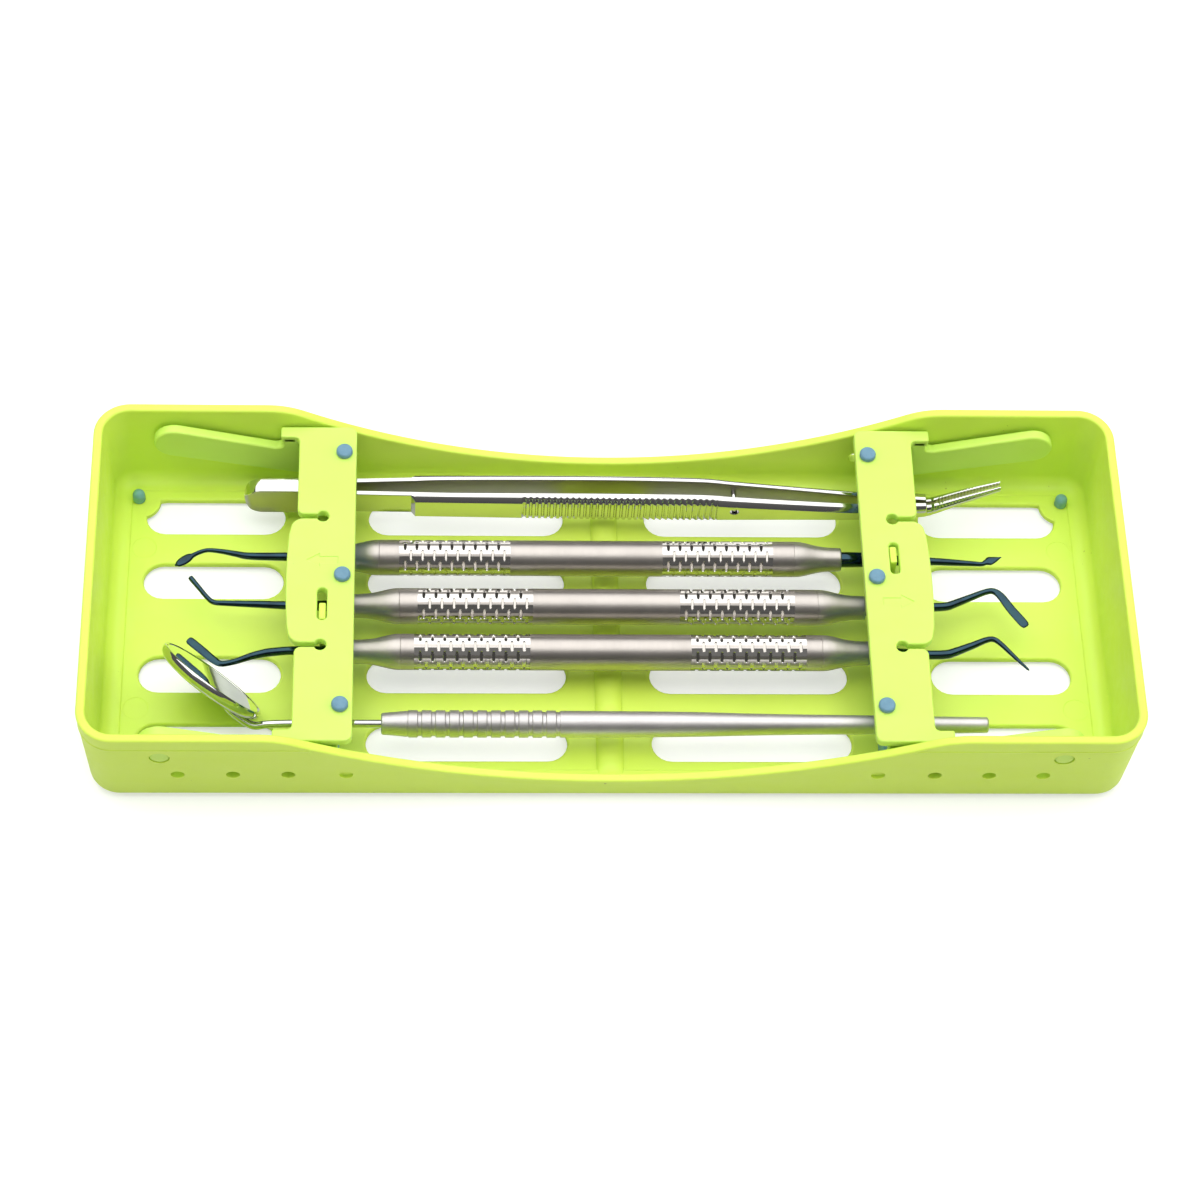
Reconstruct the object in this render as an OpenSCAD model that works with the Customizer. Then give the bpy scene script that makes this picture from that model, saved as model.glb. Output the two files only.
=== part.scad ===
// Loaded instrument cassette: an open moulded tray with two swinging
// hold-down gates, silicone strips, rails and feet, and five hand
// instruments: tweezers, carver, filler, shaper and mouth mirror.
// Millimetres. X runs along the tray, Y to the back, Z up.
// Origin: middle of the footprint, on the surface it stands on.

/* [Tray] */
// Outside length of the tray at the rim
tray_l = 203.2; // [203:0.1:204]
// Outside depth of the tray at the rim
tray_w = 77; // [76.8:0.1:77.6]
// Height of the end walls
tray_h = 24; // [24:0.2:25]
// Wall thickness
wall = 1.8; // [1.6:0.05:1.8]
// Top of the floor above the table
floor_z = 2.2; // [2.1:0.05:2.3]
// Radius of the upright outside corners
corner_r = 7; // [6:0.5:8]
// How far each wall leans out over its height
draft = 1.2; // [1.1:0.05:1.2]
// Lowest point of the dipped long walls
dip_z = 7.4; // [7:0.1:9]
// Radius of the dip in the long walls
dip_r = 130; // [126:1:134]
// Width of a drain slot in the floor
slot_w = 8; // [6:0.5:8.4]
// Radius of the wash holes through the long walls
wash_r = 1.35; // [1.1:0.05:1.5]

/* [Gates] */
// Top face of a closed gate
gate_z = 20; // [20:0.1:20.4]
// Thickness of the gate plate
gate_t = 2; // [1.8:0.1:2.2]
// Distance of the gate hinge from the middle
hinge_x = 86; // [85.5:0.1:86.5]
// Height of the gate hinge
hinge_z = 17; // [16.8:0.1:17.2]
// Radius of a gate hinge pin
pin_r = 1.9; // [1.7:0.05:2]
// Radial play of the hinge pin in its wall hole
pin_play = 0.07; // [0.03:0.01:0.09]

/* [Silicone] */
// Radius of a stud head on a gate
stud_r = 1.6; // [1.4:0.1:1.8]
// Underside of the hold-down strips
strip_z = 12.4; // [12.4:0.1:13]
// Radius of the plug on a foot
foot_plug_r = 1.25; // [1.1:0.05:1.4]

/* [Double-ended instruments] */
// Radius of the round handle
handle_r = 3.55; // [3.4:0.05:3.6]
// Half of the handle tube between the two cones
tube_half = 41.2; // [41:0.1:41.4]
// Length of one end cone
cone_l = 9.6; // [9.4:0.1:9.8]
// Height of the instrument axes above the table
axis_z = 9.5; // [9.5:0.05:9.7]
// Number of long flats around a grip
grip_flats = 10; // [10:1:10]
// Pitch of the cross cuts along a grip
cut_pitch = 2.3; // [2.2:0.05:2.35]
// Depth of a cross cut at a ridge
cut_depth = 0.32; // [0.2:0.02:0.36]

/* [Mirror] */
// Outside radius of the mirror cup
cup_r = 11.5; // [11:0.1:11.6]
// Radius of the mirror glass
glass_r = 10.8; // [10.4:0.1:10.8]
// Height of the mirror handle axis
mirror_z = 9.2; // [9.2:0.05:9.3]

/* [Tweezers] */
// Height of the middle of the tweezers arms
tw_z = 9.2; // [9.1:0.05:9.3]
// Radius of the guide pin
guide_r = 0.55; // [0.45:0.05:0.6]

/* [Hidden] */
$fn = 48;

// rows and columns of the drain slots
slot_rows = [-26.1, -10.8, 10.8, 26.1];
slot_in = [8.25, 47.6];
slot_out = [64.4, 92.3];
// wash holes along the long walls
wash_x = [62, 72.5, 83];
wash_z = 10;
// feet
foot_x = 94;
foot_y = 30.2;
// silicone strip and rail, measured from the middle
strip_x = [51.2, 54.2];
rail_x = [52.6, 55];
plug_x = 53.8;
stud_x = 52.2;
// stud places in each gate's own frame (the left gate is turned round)
stud_right = [-28.2, 0.9, 29.7];
stud_left = [-29.7, -0.9, 28.2];
plug_y = [-21, 21];
// latch slot in the gate, and the post in it
latch_x = [55.05, 56.95];
latch_y = [1.9, 9.1];
post_x = [55.3, 56.7];
post_y = [4.9, 8.2];
// arms of the gate
arm_y = [33.4, 35.5];
// instrument places across the tray, and the middle of each handle
carver_y = 11.7;  carver_x = -4;
filler_y = 0.4;   filler_x = 0.1;
shaper_y = -10.1; shaper_x = 0.4;
mirror_y = -26.1;
mirror_x0 = -44.5; mirror_x1 = 73.4;
// mirror face: middle and direction
cup_pos = [-77.1, -18.5, 12.8];
cup_rot = [0, 61, 47];

lime = "#D9F46E";
teal = "#7BA7C7";
steel = "#C9C6C1";
blue = "#1E3A4C";

// ---------- helpers ----------
// rounded rectangle between two corners
module rrect(x0, y0, x1, y1, r) {
  translate([x0 + r, y0]) square([x1 - x0 - 2 * r, y1 - y0]);
  translate([x0, y0 + r]) square([x1 - x0, y1 - y0 - 2 * r]);
  for (x = [x0 + r, x1 - r], y = [y0 + r, y1 - r]) translate([x, y]) circle(r);
}
// stadium slot along X
module stadium(x0, x1, y, w) {
  translate([x0 + w / 2, y - w / 2]) square([x1 - x0 - w, w]);
  for (x = [x0 + w / 2, x1 - w / 2]) translate([x, y]) circle(w / 2);
}
// solid of rounded plan whose sides lean: inset a at the bottom, b at the top
module lean(z0, z1, a, b, r) {
  hx = tray_l / 2; hy = tray_w / 2;
  translate([0, 0, 0]) rotate([90, 0, 0]) linear_extrude(2 * (hy - r), center = true)
    polygon([[-hx + a, z0], [hx - a, z0], [hx - b, z1], [-hx + b, z1]]);
  rotate([90, 0, 90]) linear_extrude(2 * (hx - r), center = true)
    polygon([[-hy + a, z0], [hy - a, z0], [hy - b, z1], [-hy + b, z1]]);
  for (x = [-1, 1], y = [-1, 1]) translate([x * (hx - r), y * (hy - r), z0])
    cylinder(h = z1 - z0, r1 = r - a, r2 = r - b);
}
function inset(z) = draft * (1 - z / tray_h);

// smooth curve through points
function cr(a, b, c, d, t) = 0.5 * (2 * b + (c - a) * t
  + (2 * a - 5 * b + 4 * c - d) * t * t + (3 * b - 3 * c + d - a) * t * t * t);
function curve(p, n) = let (m = len(p)) concat(
  [for (i = [0 : m - 2], k = [0 : n - 1])
    cr(p[max(i - 1, 0)], p[i], p[i + 1], p[min(i + 2, m - 1)], k / n)], [p[m - 1]]);
function unit(v) = v / norm(v);
// swept shape: each point is [x, y, z, half width, half height]
module sweep(p, sides) {
  m = len(p);
  pos = [for (q = p) [q[0], q[1], q[2]]];
  ring = [for (i = [0 : m - 1])
    let (t = unit(pos[min(i + 1, m - 1)] - pos[max(i - 1, 0)]),
         s = unit(cross(t, [0, 0, 1])), u = cross(s, t))
    for (k = [0 : sides - 1]) let (a = 360 * k / sides)
      pos[i] + s * (p[i][3] * cos(a)) + u * (p[i][4] * sin(a))];
  faces = concat(
    [[for (k = [0 : sides - 1]) k]],
    [for (i = [0 : m - 2], k = [0 : sides - 1]) let (a = i * sides + k, b = i * sides + (k + 1) % sides)
      each [[a, a + sides, b + sides], [a, b + sides, b]]],
    [[for (k = [sides - 1 : -1 : 0]) (m - 1) * sides + k]]);
  polyhedron(ring, faces, convexity = 6);
}

// ---------- tray ----------
// side view of everything above the dipped rim
module dip_profile() {
  cz = dip_z + dip_r;
  fr = 16;
  fz = tray_h - fr;
  fx = sqrt((dip_r + fr) * (dip_r + fr) - (cz - fz) * (cz - fz));
  ux = fx / (dip_r + fr);
  uz = (cz - fz) / (dip_r + fr);
  intersection() {
    translate([0, cz]) circle(dip_r, $fn = 180);
    translate([-fx, 0]) square([2 * fx, tray_h + 2]);
  }
  for (s = [-1, 1]) difference() {
    polygon([[s * (dip_r * ux - 2), cz - dip_r * uz + 1], [s * dip_r * ux, cz - dip_r * uz],
      [s * (fx - 0.55 * fr * ux), tray_h - 0.2], [s * fx, tray_h], [s * fx, tray_h + 2], [s * (dip_r * ux - 2), tray_h + 2]]);
    translate([s * fx, fz]) circle(fr, $fn = 120);
  }
}
module catch_post() {
  translate([post_x[0], post_y[0], floor_z - 0.4])
    cube([post_x[1] - post_x[0], post_y[1] - post_y[0], 19.3 - floor_z + 0.4]);
  translate([post_x[0], post_y[0] - 1.4, floor_z - 0.4])
    cube([post_x[1] - post_x[0], post_y[1] - post_y[0] + 2, 12.4 - floor_z]);
}
module tray() {
  color(lime) {
    difference() {
      union() {
        lean(3, tray_h, inset(3), 0, corner_r);
        lean(1.2, 3, inset(3) + 0.5, inset(3), corner_r);
        lean(0, 1.2, inset(3) + 1.6, inset(3) + 0.5, corner_r);
      }
      lean(floor_z + 0.9, tray_h + 0.5, inset(floor_z) + wall, inset(tray_h + 0.5) + wall, corner_r);
      lean(floor_z, floor_z + 0.95, inset(floor_z) + wall + 1.0, inset(floor_z) + wall, corner_r);
      translate([0, 0, 0]) rotate([90, 0, 0]) linear_extrude(tray_w + 20, center = true) dip_profile();
      // hollow underside inside a standing rim
      translate([0, 0, -1]) linear_extrude(1.6)
        rrect(-tray_l / 2 + 6.5, -tray_w / 2 + 6.5, tray_l / 2 - 6.5, tray_w / 2 - 6.5, 4);
      // drain slots
      translate([0, 0, -1]) linear_extrude(floor_z + 2)
        for (y = slot_rows, s = [-1, 1]) {
          stadium(min(s * slot_in[0], s * slot_in[1]), max(s * slot_in[0], s * slot_in[1]), y, slot_w);
          stadium(min(s * slot_out[0], s * slot_out[1]), max(s * slot_out[0], s * slot_out[1]), y, slot_w);
        }
      // wash holes
      for (s = [-1, 1], x = wash_x) translate([s * x, 0, wash_z]) rotate([90, 0, 0])
        cylinder(r = wash_r, h = tray_w + 10, center = true);
      for (s = [-1, 1]) {
        translate([s * 51, tray_w / 2 + 2, wash_z]) rotate([90, 0, 0]) cylinder(r = wash_r, h = 10);
        translate([s * 51, -tray_w / 2 - 2, wash_z]) rotate([-90, 0, 0]) cylinder(r = wash_r, h = 3.5);
      }
      // gate hinge holes
      for (s = [-1, 1]) translate([s * hinge_x, 0, hinge_z]) rotate([90, 0, 0])
        cylinder(r = pin_r + pin_play, h = tray_w + 10, center = true);
      // foot sockets
      for (x = [-1, 1], y = [-1, 1]) translate([x * foot_x, y * foot_y, -1]) {
        cylinder(r = foot_plug_r - 0.2, h = 5);
        cylinder(r = 4, h = 1.9);
      }
      // rail plug holes
      for (s = [-1, 1], y = plug_y) translate([s * plug_x, y, -1]) cylinder(r = 1.2, h = 5);
    }
    // bosses round the foot plugs
    for (x = [-1, 1], y = [-1, 1]) translate([x * foot_x, y * foot_y, 0.9]) difference() {
      cylinder(r = 4.4, h = floor_z - 0.95);
      translate([0, 0, -1]) cylinder(r = foot_plug_r - 0.2, h = 5);
    }
    // centre rib between the slot columns
    difference() {
      translate([0, 0, floor_z - 1.9]) rotate([90, 0, 0]) cylinder(r = 3.4, h = tray_w - 9, center = true);
      translate([-5, -tray_w / 2, -5]) cube([10, tray_w, 5 + floor_z - 0.4]);
    }
    catch_post();
    rotate([0, 0, 180]) catch_post();
  }
}

// ---------- gates ----------
module gate_arm() {
  // plate leg and swing arm, drawn in side view
  rotate([90, 0, 0]) translate([0, 0, -arm_y[1]]) linear_extrude(arm_y[1] - arm_y[0]) {
    polygon([[52.6, gate_z - gate_t / 2], [52.6, 8.2], [53.6, 7.2], [62, 7.2], [87.1, 12.95],
      [84.9, 21.05], [65, 15.6], [65, gate_z], [60, gate_z]]);
    translate([hinge_x, hinge_z]) circle(4.2);
  }
  // hinge pin
  translate([hinge_x, arm_y[0] + 0.5, hinge_z]) rotate([-90, 0, 0]) cylinder(r = pin_r, h = 38 - arm_y[0] - 0.5);
}
module gate(studs) {
  color(lime) {
    difference() {
      translate([0, 0, gate_z - gate_t]) linear_extrude(gate_t) difference() {
        union() {
          rrect(49.8, -35.9, 61.2, 35.9, 1.5);
          translate([52, 33.4]) square([13, 2.5]);
          translate([52, -35.9]) square([13, 2.5]);
          // flexing middle tab with a bowed outer edge
          intersection() {
            translate([63.1 - 150, 0]) circle(150, $fn = 360);
            rrect(52, -14.2, 64, 14.2, 2.6);
          }
        }
        // slits that free the tab
        for (s = [-1, 1]) {
          translate([56.2, s * 14.7]) circle(1.2);
          translate([56.2, s * 14.7 - 0.48]) square([8, 0.96]);
        }
        // latch slot
        rrect(latch_x[0], latch_y[0], latch_x[1], latch_y[1], 0.9);
        // stud holes
        for (y = studs) translate([stud_x, y]) circle(1);
      }
      // sunk arrow that points outwards
      translate([0, 0, gate_z - 0.2]) linear_extrude(1)
        polygon([[53, -5.35], [56.6, -5.35], [56.6, -6.1], [59.3, -4.5], [56.6, -2.9], [56.6, -3.65], [53, -3.65]]);
    }
    gate_arm();
    mirror([0, 1, 0]) gate_arm();
  }
}
module gate_right() { gate(stud_right); }
module gate_left() { rotate([0, 0, 180]) gate(stud_left); }

module hold_down_strip(studs) {
  color(teal) {
    difference() {
      translate([strip_x[0], -32, strip_z]) cube([strip_x[1] - strip_x[0], 64, gate_z - gate_t - strip_z]);
      // soft comb along the underside
      for (y = [-30 : 3 : 30]) translate([50, y - 0.5, strip_z - 1]) cube([6, 1, 3]);
    }
    for (y = studs) translate([stud_x, y, 0]) {
      translate([0, 0, gate_z - gate_t - 0.5]) cylinder(r = 0.99, h = gate_t + 1);
      translate([0, 0, gate_z]) cylinder(r = stud_r, h = 0.8);
      translate([0, 0, gate_z + 0.8]) cylinder(r1 = stud_r, r2 = stud_r - 0.5, h = 0.4);
    }
  }
}
module hold_down_strip_right() { hold_down_strip(stud_right); }
module hold_down_strip_left() {
  difference() {
    rotate([0, 0, 180]) hold_down_strip(stud_left);
    // room for the broad end of the tweezers
    translate([-56, 24, 10]) cube([6, 6, 3]);
  }
}

// rail under the instruments: seats is a list of [y, z, radius]
module rail(seats, tw_top) {
  difference() {
    union() {
      translate([rail_x[0], -32, floor_z]) cube([rail_x[1] - rail_x[0], 64, 7]);
      for (y = plug_y) translate([plug_x, y, 0.6]) cylinder(r = 1.19, h = floor_z);
    }
    for (q = seats) {
      translate([50, q[0], q[1]]) rotate([0, 90, 0]) cylinder(r = q[2], h = 6);
      translate([50, q[0] - q[2], q[1]]) cube([6, 2 * q[2], 6]);
    }
    // room for the tweezers
    translate([50, 17.4, tw_top]) cube([6, 20, 12]);
    // relief between the seats
    for (y = [-19.6, -15, 5.9]) translate([50, y - 1.4, 6.4]) cube([6, 2.8, 6]);
  }
}
module rest_rail_right() {
  color(teal) rail([[carver_y, axis_z, 1.46], [filler_y, axis_z, 1.53], [shaper_y, axis_z, 1.53], [mirror_y, mirror_z, 1.98]], 7.35);
}
module rest_rail_left() {
  color(teal) mirror([1, 0, 0])
    rail([[carver_y, axis_z, 2.48], [filler_y, axis_z, 1.53], [shaper_y, axis_z, 1.53], [mirror_y, mirror_z, 0.84]], 5.6);
}

// push-in silicone foot: pad, stem and domed plug
module foot(x, y) {
  color(teal) translate([x, y, 0]) {
    cylinder(r = 3.9, h = 0.88);
    cylinder(r = foot_plug_r - 0.21, h = floor_z + 0.5);
    translate([0, 0, floor_z]) cylinder(r = foot_plug_r, h = 1.9);
    translate([0, 0, floor_z + 1.9]) intersection() {
      scale(1) translate([0, 0, -0.55]) sphere(r = 1.366);
      cylinder(r = foot_plug_r, h = 2);
    }
  }
}
module foot_front_left() { foot(-foot_x, -foot_y); }
module foot_front_right() { foot(foot_x, -foot_y); }
module foot_back_left() { foot(-foot_x, foot_y); }
module foot_back_right() { foot(foot_x, foot_y); }

// ---------- double-ended instruments ----------
// grip: ten flats, and cross cuts on the ridges, every other ridge half a pitch on
module grip(x0, pitch) {
  n_cut = 9;
  difference() {
    translate([x0, 0, 0]) rotate([0, 90, 0]) cylinder(r = handle_r, h = n_cut * pitch + 1.2, $fn = grip_flats);
    for (i = [0 : grip_flats - 1], k = [0 : n_cut - 1])
      translate([x0 + 0.6 + (k + (i % 2 == 0 ? 0.25 : 0.75)) * pitch, 0, 0])
        rotate([i * 360 / grip_flats, 0, 0])
          translate([-0.28, -1.6, -handle_r - 1 + cut_depth]) cube([0.56, 3.2, 1]);
  }
}
// q: start of the left grip, start of the right grip, extra pitch
module handle(x, y, q) {
  pitch = cut_pitch + q[2];
  grip_l = 9 * pitch + 1.2;
  color(steel) translate([x, y, axis_z]) difference() {
    union() {
      translate([-tube_half, 0, 0]) rotate([0, 90, 0]) cylinder(r = handle_r, h = tube_half + q[0]);
      grip(q[0], pitch);
      translate([q[0] + grip_l, 0, 0]) rotate([0, 90, 0]) cylinder(r = handle_r, h = q[1] - q[0] - grip_l);
      grip(q[1], pitch);
      translate([q[1] + grip_l, 0, 0]) rotate([0, 90, 0]) cylinder(r = handle_r, h = tube_half - q[1] - grip_l);
    }
    translate([-tube_half - 1, 0, 0]) rotate([0, 90, 0]) cylinder(r = 2.6, h = 2 * tube_half + 2);
  }
}
// turned end cone with a spigot in the tube and a blind bore for the tip
module cone(x, y, side) {
  color(steel) translate([x + side * tube_half, y, axis_z]) rotate([0, side * 90, 0]) difference() {
    rotate_extrude() polygon([[0, -6], [2.58, -6], [2.58, 0], [handle_r, 0], [handle_r - 0.05, 1], [3.36, 2],
      [3.1, 3.2], [2.8, 4.5], [2.56, 6], [2.42, 7.5], [2.36, cone_l - 0.2], [2.2, cone_l], [0, cone_l]]);
    translate([0, 0, cone_l - 8]) cylinder(r = 1.52, h = 9);
  }
}
module tip(p) { color(blue) sweep(curve(p, 3), 12); }

module carver_handle() { handle(carver_x, carver_y, [-37.25, 14.95, 0.01]); }
module carver_cone_left() { cone(carver_x, carver_y, -1); }
module carver_cone_right() { cone(carver_x, carver_y, 1); }
module carver_tip_left() { x = carver_x - tube_half - cone_l; y = carver_y; z = axis_z;
  tip([[x + 7.9, y, z, 1.5, 1.5], [x - 2, y, z, 1.5, 1.5], [x - 4.5, y, z, 1.05, 1.05], [-63.5, y + 0.1, z, 0.85, 0.85],
    [-70.8, y + 0.2, z, 0.72, 0.72], [-73.6, 12.4, z, 0.6, 0.6], [-76.6, 13, z, 0.48, 0.48], [-79.2, 13.3, z - 0.1, 0.42, 0.42],
    [-80.9, 12.9, z - 0.3, 0.45, 0.45], [-82, 12.3, z - 0.5, 0.8, 0.4], [-83.4, 11.6, z - 0.8, 1.05, 0.35],
    [-84.8, 10.8, z - 1.1, 0.75, 0.3], [-85.6, 10.4, z - 1.3, 0.2, 0.16]]);
}
module carver_tip_right() { x = carver_x + tube_half + cone_l; y = carver_y; z = axis_z;
  tip([[x - 7.9, y, z, 1.5, 1.5], [x + 2.2, y, z, 1.5, 1.5], [x + 5.5, y, z, 1.35, 1.35], [x + 8.5, y, z, 1.1, 1.1], [64.3, 11.4, z, 0.78, 0.78],
    [68.4, 11.2, z, 0.68, 0.68], [73.2, 10.9, z, 0.52, 0.52], [75.1, 10.8, z, 0.45, 0.45], [76, 11.2, z, 0.6, 0.4],
    [76.7, 11.5, z, 0.95, 0.34], [77.6, 11.8, z, 0.75, 0.3], [79.2, 12.4, z, 0.12, 0.14]]);
}
module filler_handle() { handle(filler_x, filler_y, [-37.65, 13.95, 0.08]); }
module filler_cone_left() { cone(filler_x, filler_y, -1); }
module filler_cone_right() { cone(filler_x, filler_y, 1); }
module filler_tip_left() { x = filler_x - tube_half - cone_l; y = filler_y; z = axis_z;
  tip([[x + 7.9, y, z, 1.5, 1.5], [x - 2.5, y, z, 1.5, 1.5], [x - 5, y, z, 1.05, 1.05], [-63.7, y + 0.1, z, 0.8, 0.8],
    [-69, y + 0.3, z, 0.7, 0.7], [-74.9, 0.9, z, 0.56, 0.56], [-77.5, 1.1, z, 0.5, 0.5], [-78.8, 2.1, z, 0.48, 0.48],
    [-80.4, 4.2, z, 0.48, 0.48], [-81.9, 6.2, z, 0.52, 0.52], [-82.4, 6.9, z, 0.5, 0.5]]);
}
module filler_tip_right() { x = filler_x + tube_half + cone_l; y = filler_y; z = axis_z;
  tip([[x - 7.9, y, z, 1.5, 1.5], [x + 2.5, y, z, 1.5, 1.5], [x + 5, y, z, 1.1, 1.1], [64.2, 0.6, z, 0.86, 0.86],
    [67.2, 0.8, z, 0.84, 0.84], [68.9, 1.4, z, 0.8, 0.8], [72.5, 3, z, 0.68, 0.68], [75.3, 4.2, z, 0.6, 0.6],
    [77, 4.4, z, 0.66, 0.5], [78.4, 3.2, z, 0.84, 0.36], [80.1, 0.3, z, 0.94, 0.28], [82.2, -2.8, z, 0.98, 0.26],
    [82.9, -3.8, z, 0.6, 0.24], [83.1, -4.1, z, 0.2, 0.2]]);
}
module shaper_handle() { handle(shaper_x, shaper_y, [-38.6, 15.5, 0.08]); }
module shaper_cone_left() { cone(shaper_x, shaper_y, -1); }
module shaper_cone_right() { cone(shaper_x, shaper_y, 1); }
module shaper_tip_left() { x = shaper_x - tube_half - cone_l; y = shaper_y; z = axis_z;
  tip([[x + 7.9, y, z, 1.5, 1.5], [x - 2.5, y, z, 1.5, 1.5], [x - 5, y, z, 1.1, 1.1], [-61.9, -9.9, z, 0.84, 0.84],
    [-65.5, -10.2, z, 0.82, 0.82], [-67.4, -10.5, z, 0.8, 0.8], [-69.9, -11.2, z, 0.7, 0.7], [-73, -12.4, z, 0.58, 0.58],
    [-75.6, -12.9, z, 0.62, 0.5], [-77.2, -12, z, 0.78, 0.38], [-79.6, -9.8, z, 0.86, 0.3], [-81.7, -7.9, z, 0.86, 0.28],
    [-82.4, -7.3, z, 0.5, 0.25]]);
}
module shaper_tip_right() { x = shaper_x + tube_half + cone_l; y = shaper_y; z = axis_z;
  tip([[x - 7.9, y, z, 1.5, 1.5], [x + 2.5, y, z, 1.5, 1.5], [x + 5, y, z, 1.1, 1.1], [62.7, -10.4, z, 0.9, 0.9],
    [66.3, -10.3, z, 0.88, 0.88], [68, -9.8, z, 0.84, 0.84], [71.6, -8.3, z, 0.72, 0.72], [74.5, -7, z, 0.6, 0.6],
    [76.1, -6.8, z, 0.55, 0.5], [77.5, -7.9, z, 0.5, 0.45], [79.9, -10.8, z, 0.4, 0.36], [82.1, -13.4, z, 0.24, 0.22],
    [82.5, -13.9, z, 0.12, 0.12]]);
}

// ---------- mirror ----------
module mirror_handle() {
  l = mirror_x1 - mirror_x0;
  rings = 11;
  p = 2.67;
  color(steel) translate([mirror_x0, mirror_y, mirror_z]) rotate([0, 90, 0]) difference() {
    rotate_extrude() polygon(concat([[0, 0], [1.95, 0], [2.15, 0.2], [2.5, 4.9]],
      [for (i = [0 : rings - 1]) each [[2.64, 5.2 + i * p], [2.64, 6.9 + i * p], [2.3, 7.2 + i * p], [2.3, 7.65 + i * p]]],
      [[2.45, 35.6], [2.45, 58], [2.2, 70], [1.98, 82], [1.85, 97], [1.55, l - 0.4], [1.3, l], [0, l]]));
    translate([0, 0, -1]) cylinder(r = 0.82, h = 9);
  }
}
module mirror_stem() {
  color("#D8D8D6") sweep(curve([[mirror_x0 + 7, mirror_y, mirror_z, 0.8, 0.8], [-52, mirror_y, mirror_z, 0.8, 0.8],
    [-61, mirror_y, mirror_z, 0.8, 0.8], [-66.2, mirror_y - 0.1, mirror_z - 0.1, 0.8, 0.8], [-69.2, -26.1, 8.5, 0.8, 0.8],
    [-72.4, -24.2, 9, 0.75, 0.75], [-74.3, -22.8, 9.6, 0.6, 0.6]], 4), 14);
}
module mirror_cup() {
  color("#D8D8D6") translate(cup_pos) rotate(cup_rot) rotate_extrude()
    polygon([[0, -2.6], [3, -2.55], [6, -2.35], [9, -1.95], [10.6, -1.5], [cup_r - 0.15, -0.9], [cup_r, -0.4], [cup_r, 0.4],
      [cup_r - 0.2, 0.6], [glass_r + 0.02, 0.6], [glass_r + 0.02, -0.5], [0, -0.5]]);
}
module mirror_glass() {
  color("#E8EEF0") translate(cup_pos) rotate(cup_rot) translate([0, 0, -0.5]) cylinder(r = glass_r, h = 1, $fn = 96);
}

// ---------- tweezers ----------
// arm widths in side view: [x, half width, middle]
tw_side = [[-62, 3.8, 0], [-54, 3.2, 0], [-46, 3.1, 0], [-39, 3.05, 0], [-29, 3.05, 0], [-17, 3.1, 0.05], [0, 3.15, 0.1],
  [19, 3.1, 0.1], [26, 2.75, 0.1], [36, 2.3, 0.1], [50, 1.75, 0.1], [62.3, 1.35, 0.1], [62.4, 1.7, 0.35], [64.8, 1.7, 0.4],
  [64.9, 1.25, 0.2], [66.5, 1.2, 0.6], [72, 0.95, 3.2], [79.4, 0.6, 6.7]];
tw_end_r = 3.85;
module tw_profile() {
  n = len(tw_side);
  polygon(concat([for (q = tw_side) [q[0], tw_z + q[2] + q[1]]],
    [for (i = [n - 1 : -1 : 0]) [tw_side[i][0], tw_z + tw_side[i][2] - tw_side[i][1]]],
    [for (a = [270 : -10 : 90]) [-68.5 + tw_end_r * cos(a), tw_z + tw_end_r * sin(a)]]));
}
// arms in plan view: [x, inner y, outer y]
tw_back = [[-70.8, 25, 28.2], [-60, 25, 28.42], [-59.95, 25.98, 28.42], [-58.8, 27.5, 28.46], [-50, 27.75, 28.7],
  [-39, 28.2, 29.1], [-38.2, 28.2, 29.8], [-29, 28.5, 29.9], [0, 28.5, 29.8], [19, 28.2, 29.5], [26, 27.8, 29], [38, 27, 28.2],
  [50, 26.1, 27.4], [62.3, 25.08, 26.45], [62.4, 25.07, 26.85], [64.8, 25.05, 26.8], [64.9, 25.05, 26.4], [66, 25.1, 26.3],
  [72, 25.5, 26.5], [79.4, 25.7, 26.4]];
tw_front = [[-59.8, 25.88, 24.9], [-50, 25.8, 24.85], [-39, 25.65, 24.7], [-38.2, 25.65, 23.6], [-29, 25.5, 23.5],
  [0, 25.35, 23.1], [19, 25.2, 23], [26, 24.95, 22.85], [38, 24.5, 22.6], [50, 24.2, 22.4], [62.3, 24.3, 22.8], [66, 24.4, 23.1],
  [72, 24.7, 23.7], [79.4, 25.05, 24.35]];
module tw_plan(p, end = []) {
  polygon(concat([for (q = p) [q[0], q[2]]], [for (i = [len(p) - 1 : -1 : 0]) [p[i][0], p[i][1]]], end));
}
// welded end, which belongs to the back arm: its round nose
tw_nose = [for (a = [255 : -15 : 105]) [-70.8 + 1.6 * cos(a), 26.6 + 1.6 * sin(a)]];
module tweezers_arm_back() {
  color(steel) difference() {
    intersection() {
      translate([0, 0, 4]) linear_extrude(16) tw_plan(tw_back, tw_nose);
      translate([0, 40, 0]) rotate([90, 0, 0]) linear_extrude(30) tw_profile();
    }
    translate([26, 27, 9.6]) rotate([-90, 0, 0]) cylinder(r = guide_r + 0.01, h = 5);
  }
}
module tweezers_arm_front() {
  color(steel) difference() {
    intersection() {
      translate([0, 0, 4]) linear_extrude(16) tw_plan(tw_front);
      translate([0, 40, 0]) rotate([90, 0, 0]) linear_extrude(30) tw_profile();
    }
    translate([26, 20, 9.6]) rotate([-90, 0, 0]) cylinder(r = 0.95, h = 6.5);
    // grip ribs across the outer face
    for (i = [0 : 31]) translate([-16.6 + i * 1.22, 21.5, 4]) cube([0.5, 1.85, 12]);
  }
}
module tweezers_guide_pin() {
  color("#E4E4E2") translate([26, 23.3, 9.6]) rotate([-90, 0, 0]) cylinder(r = guide_r, h = 29.1 - 23.3);
}

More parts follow.
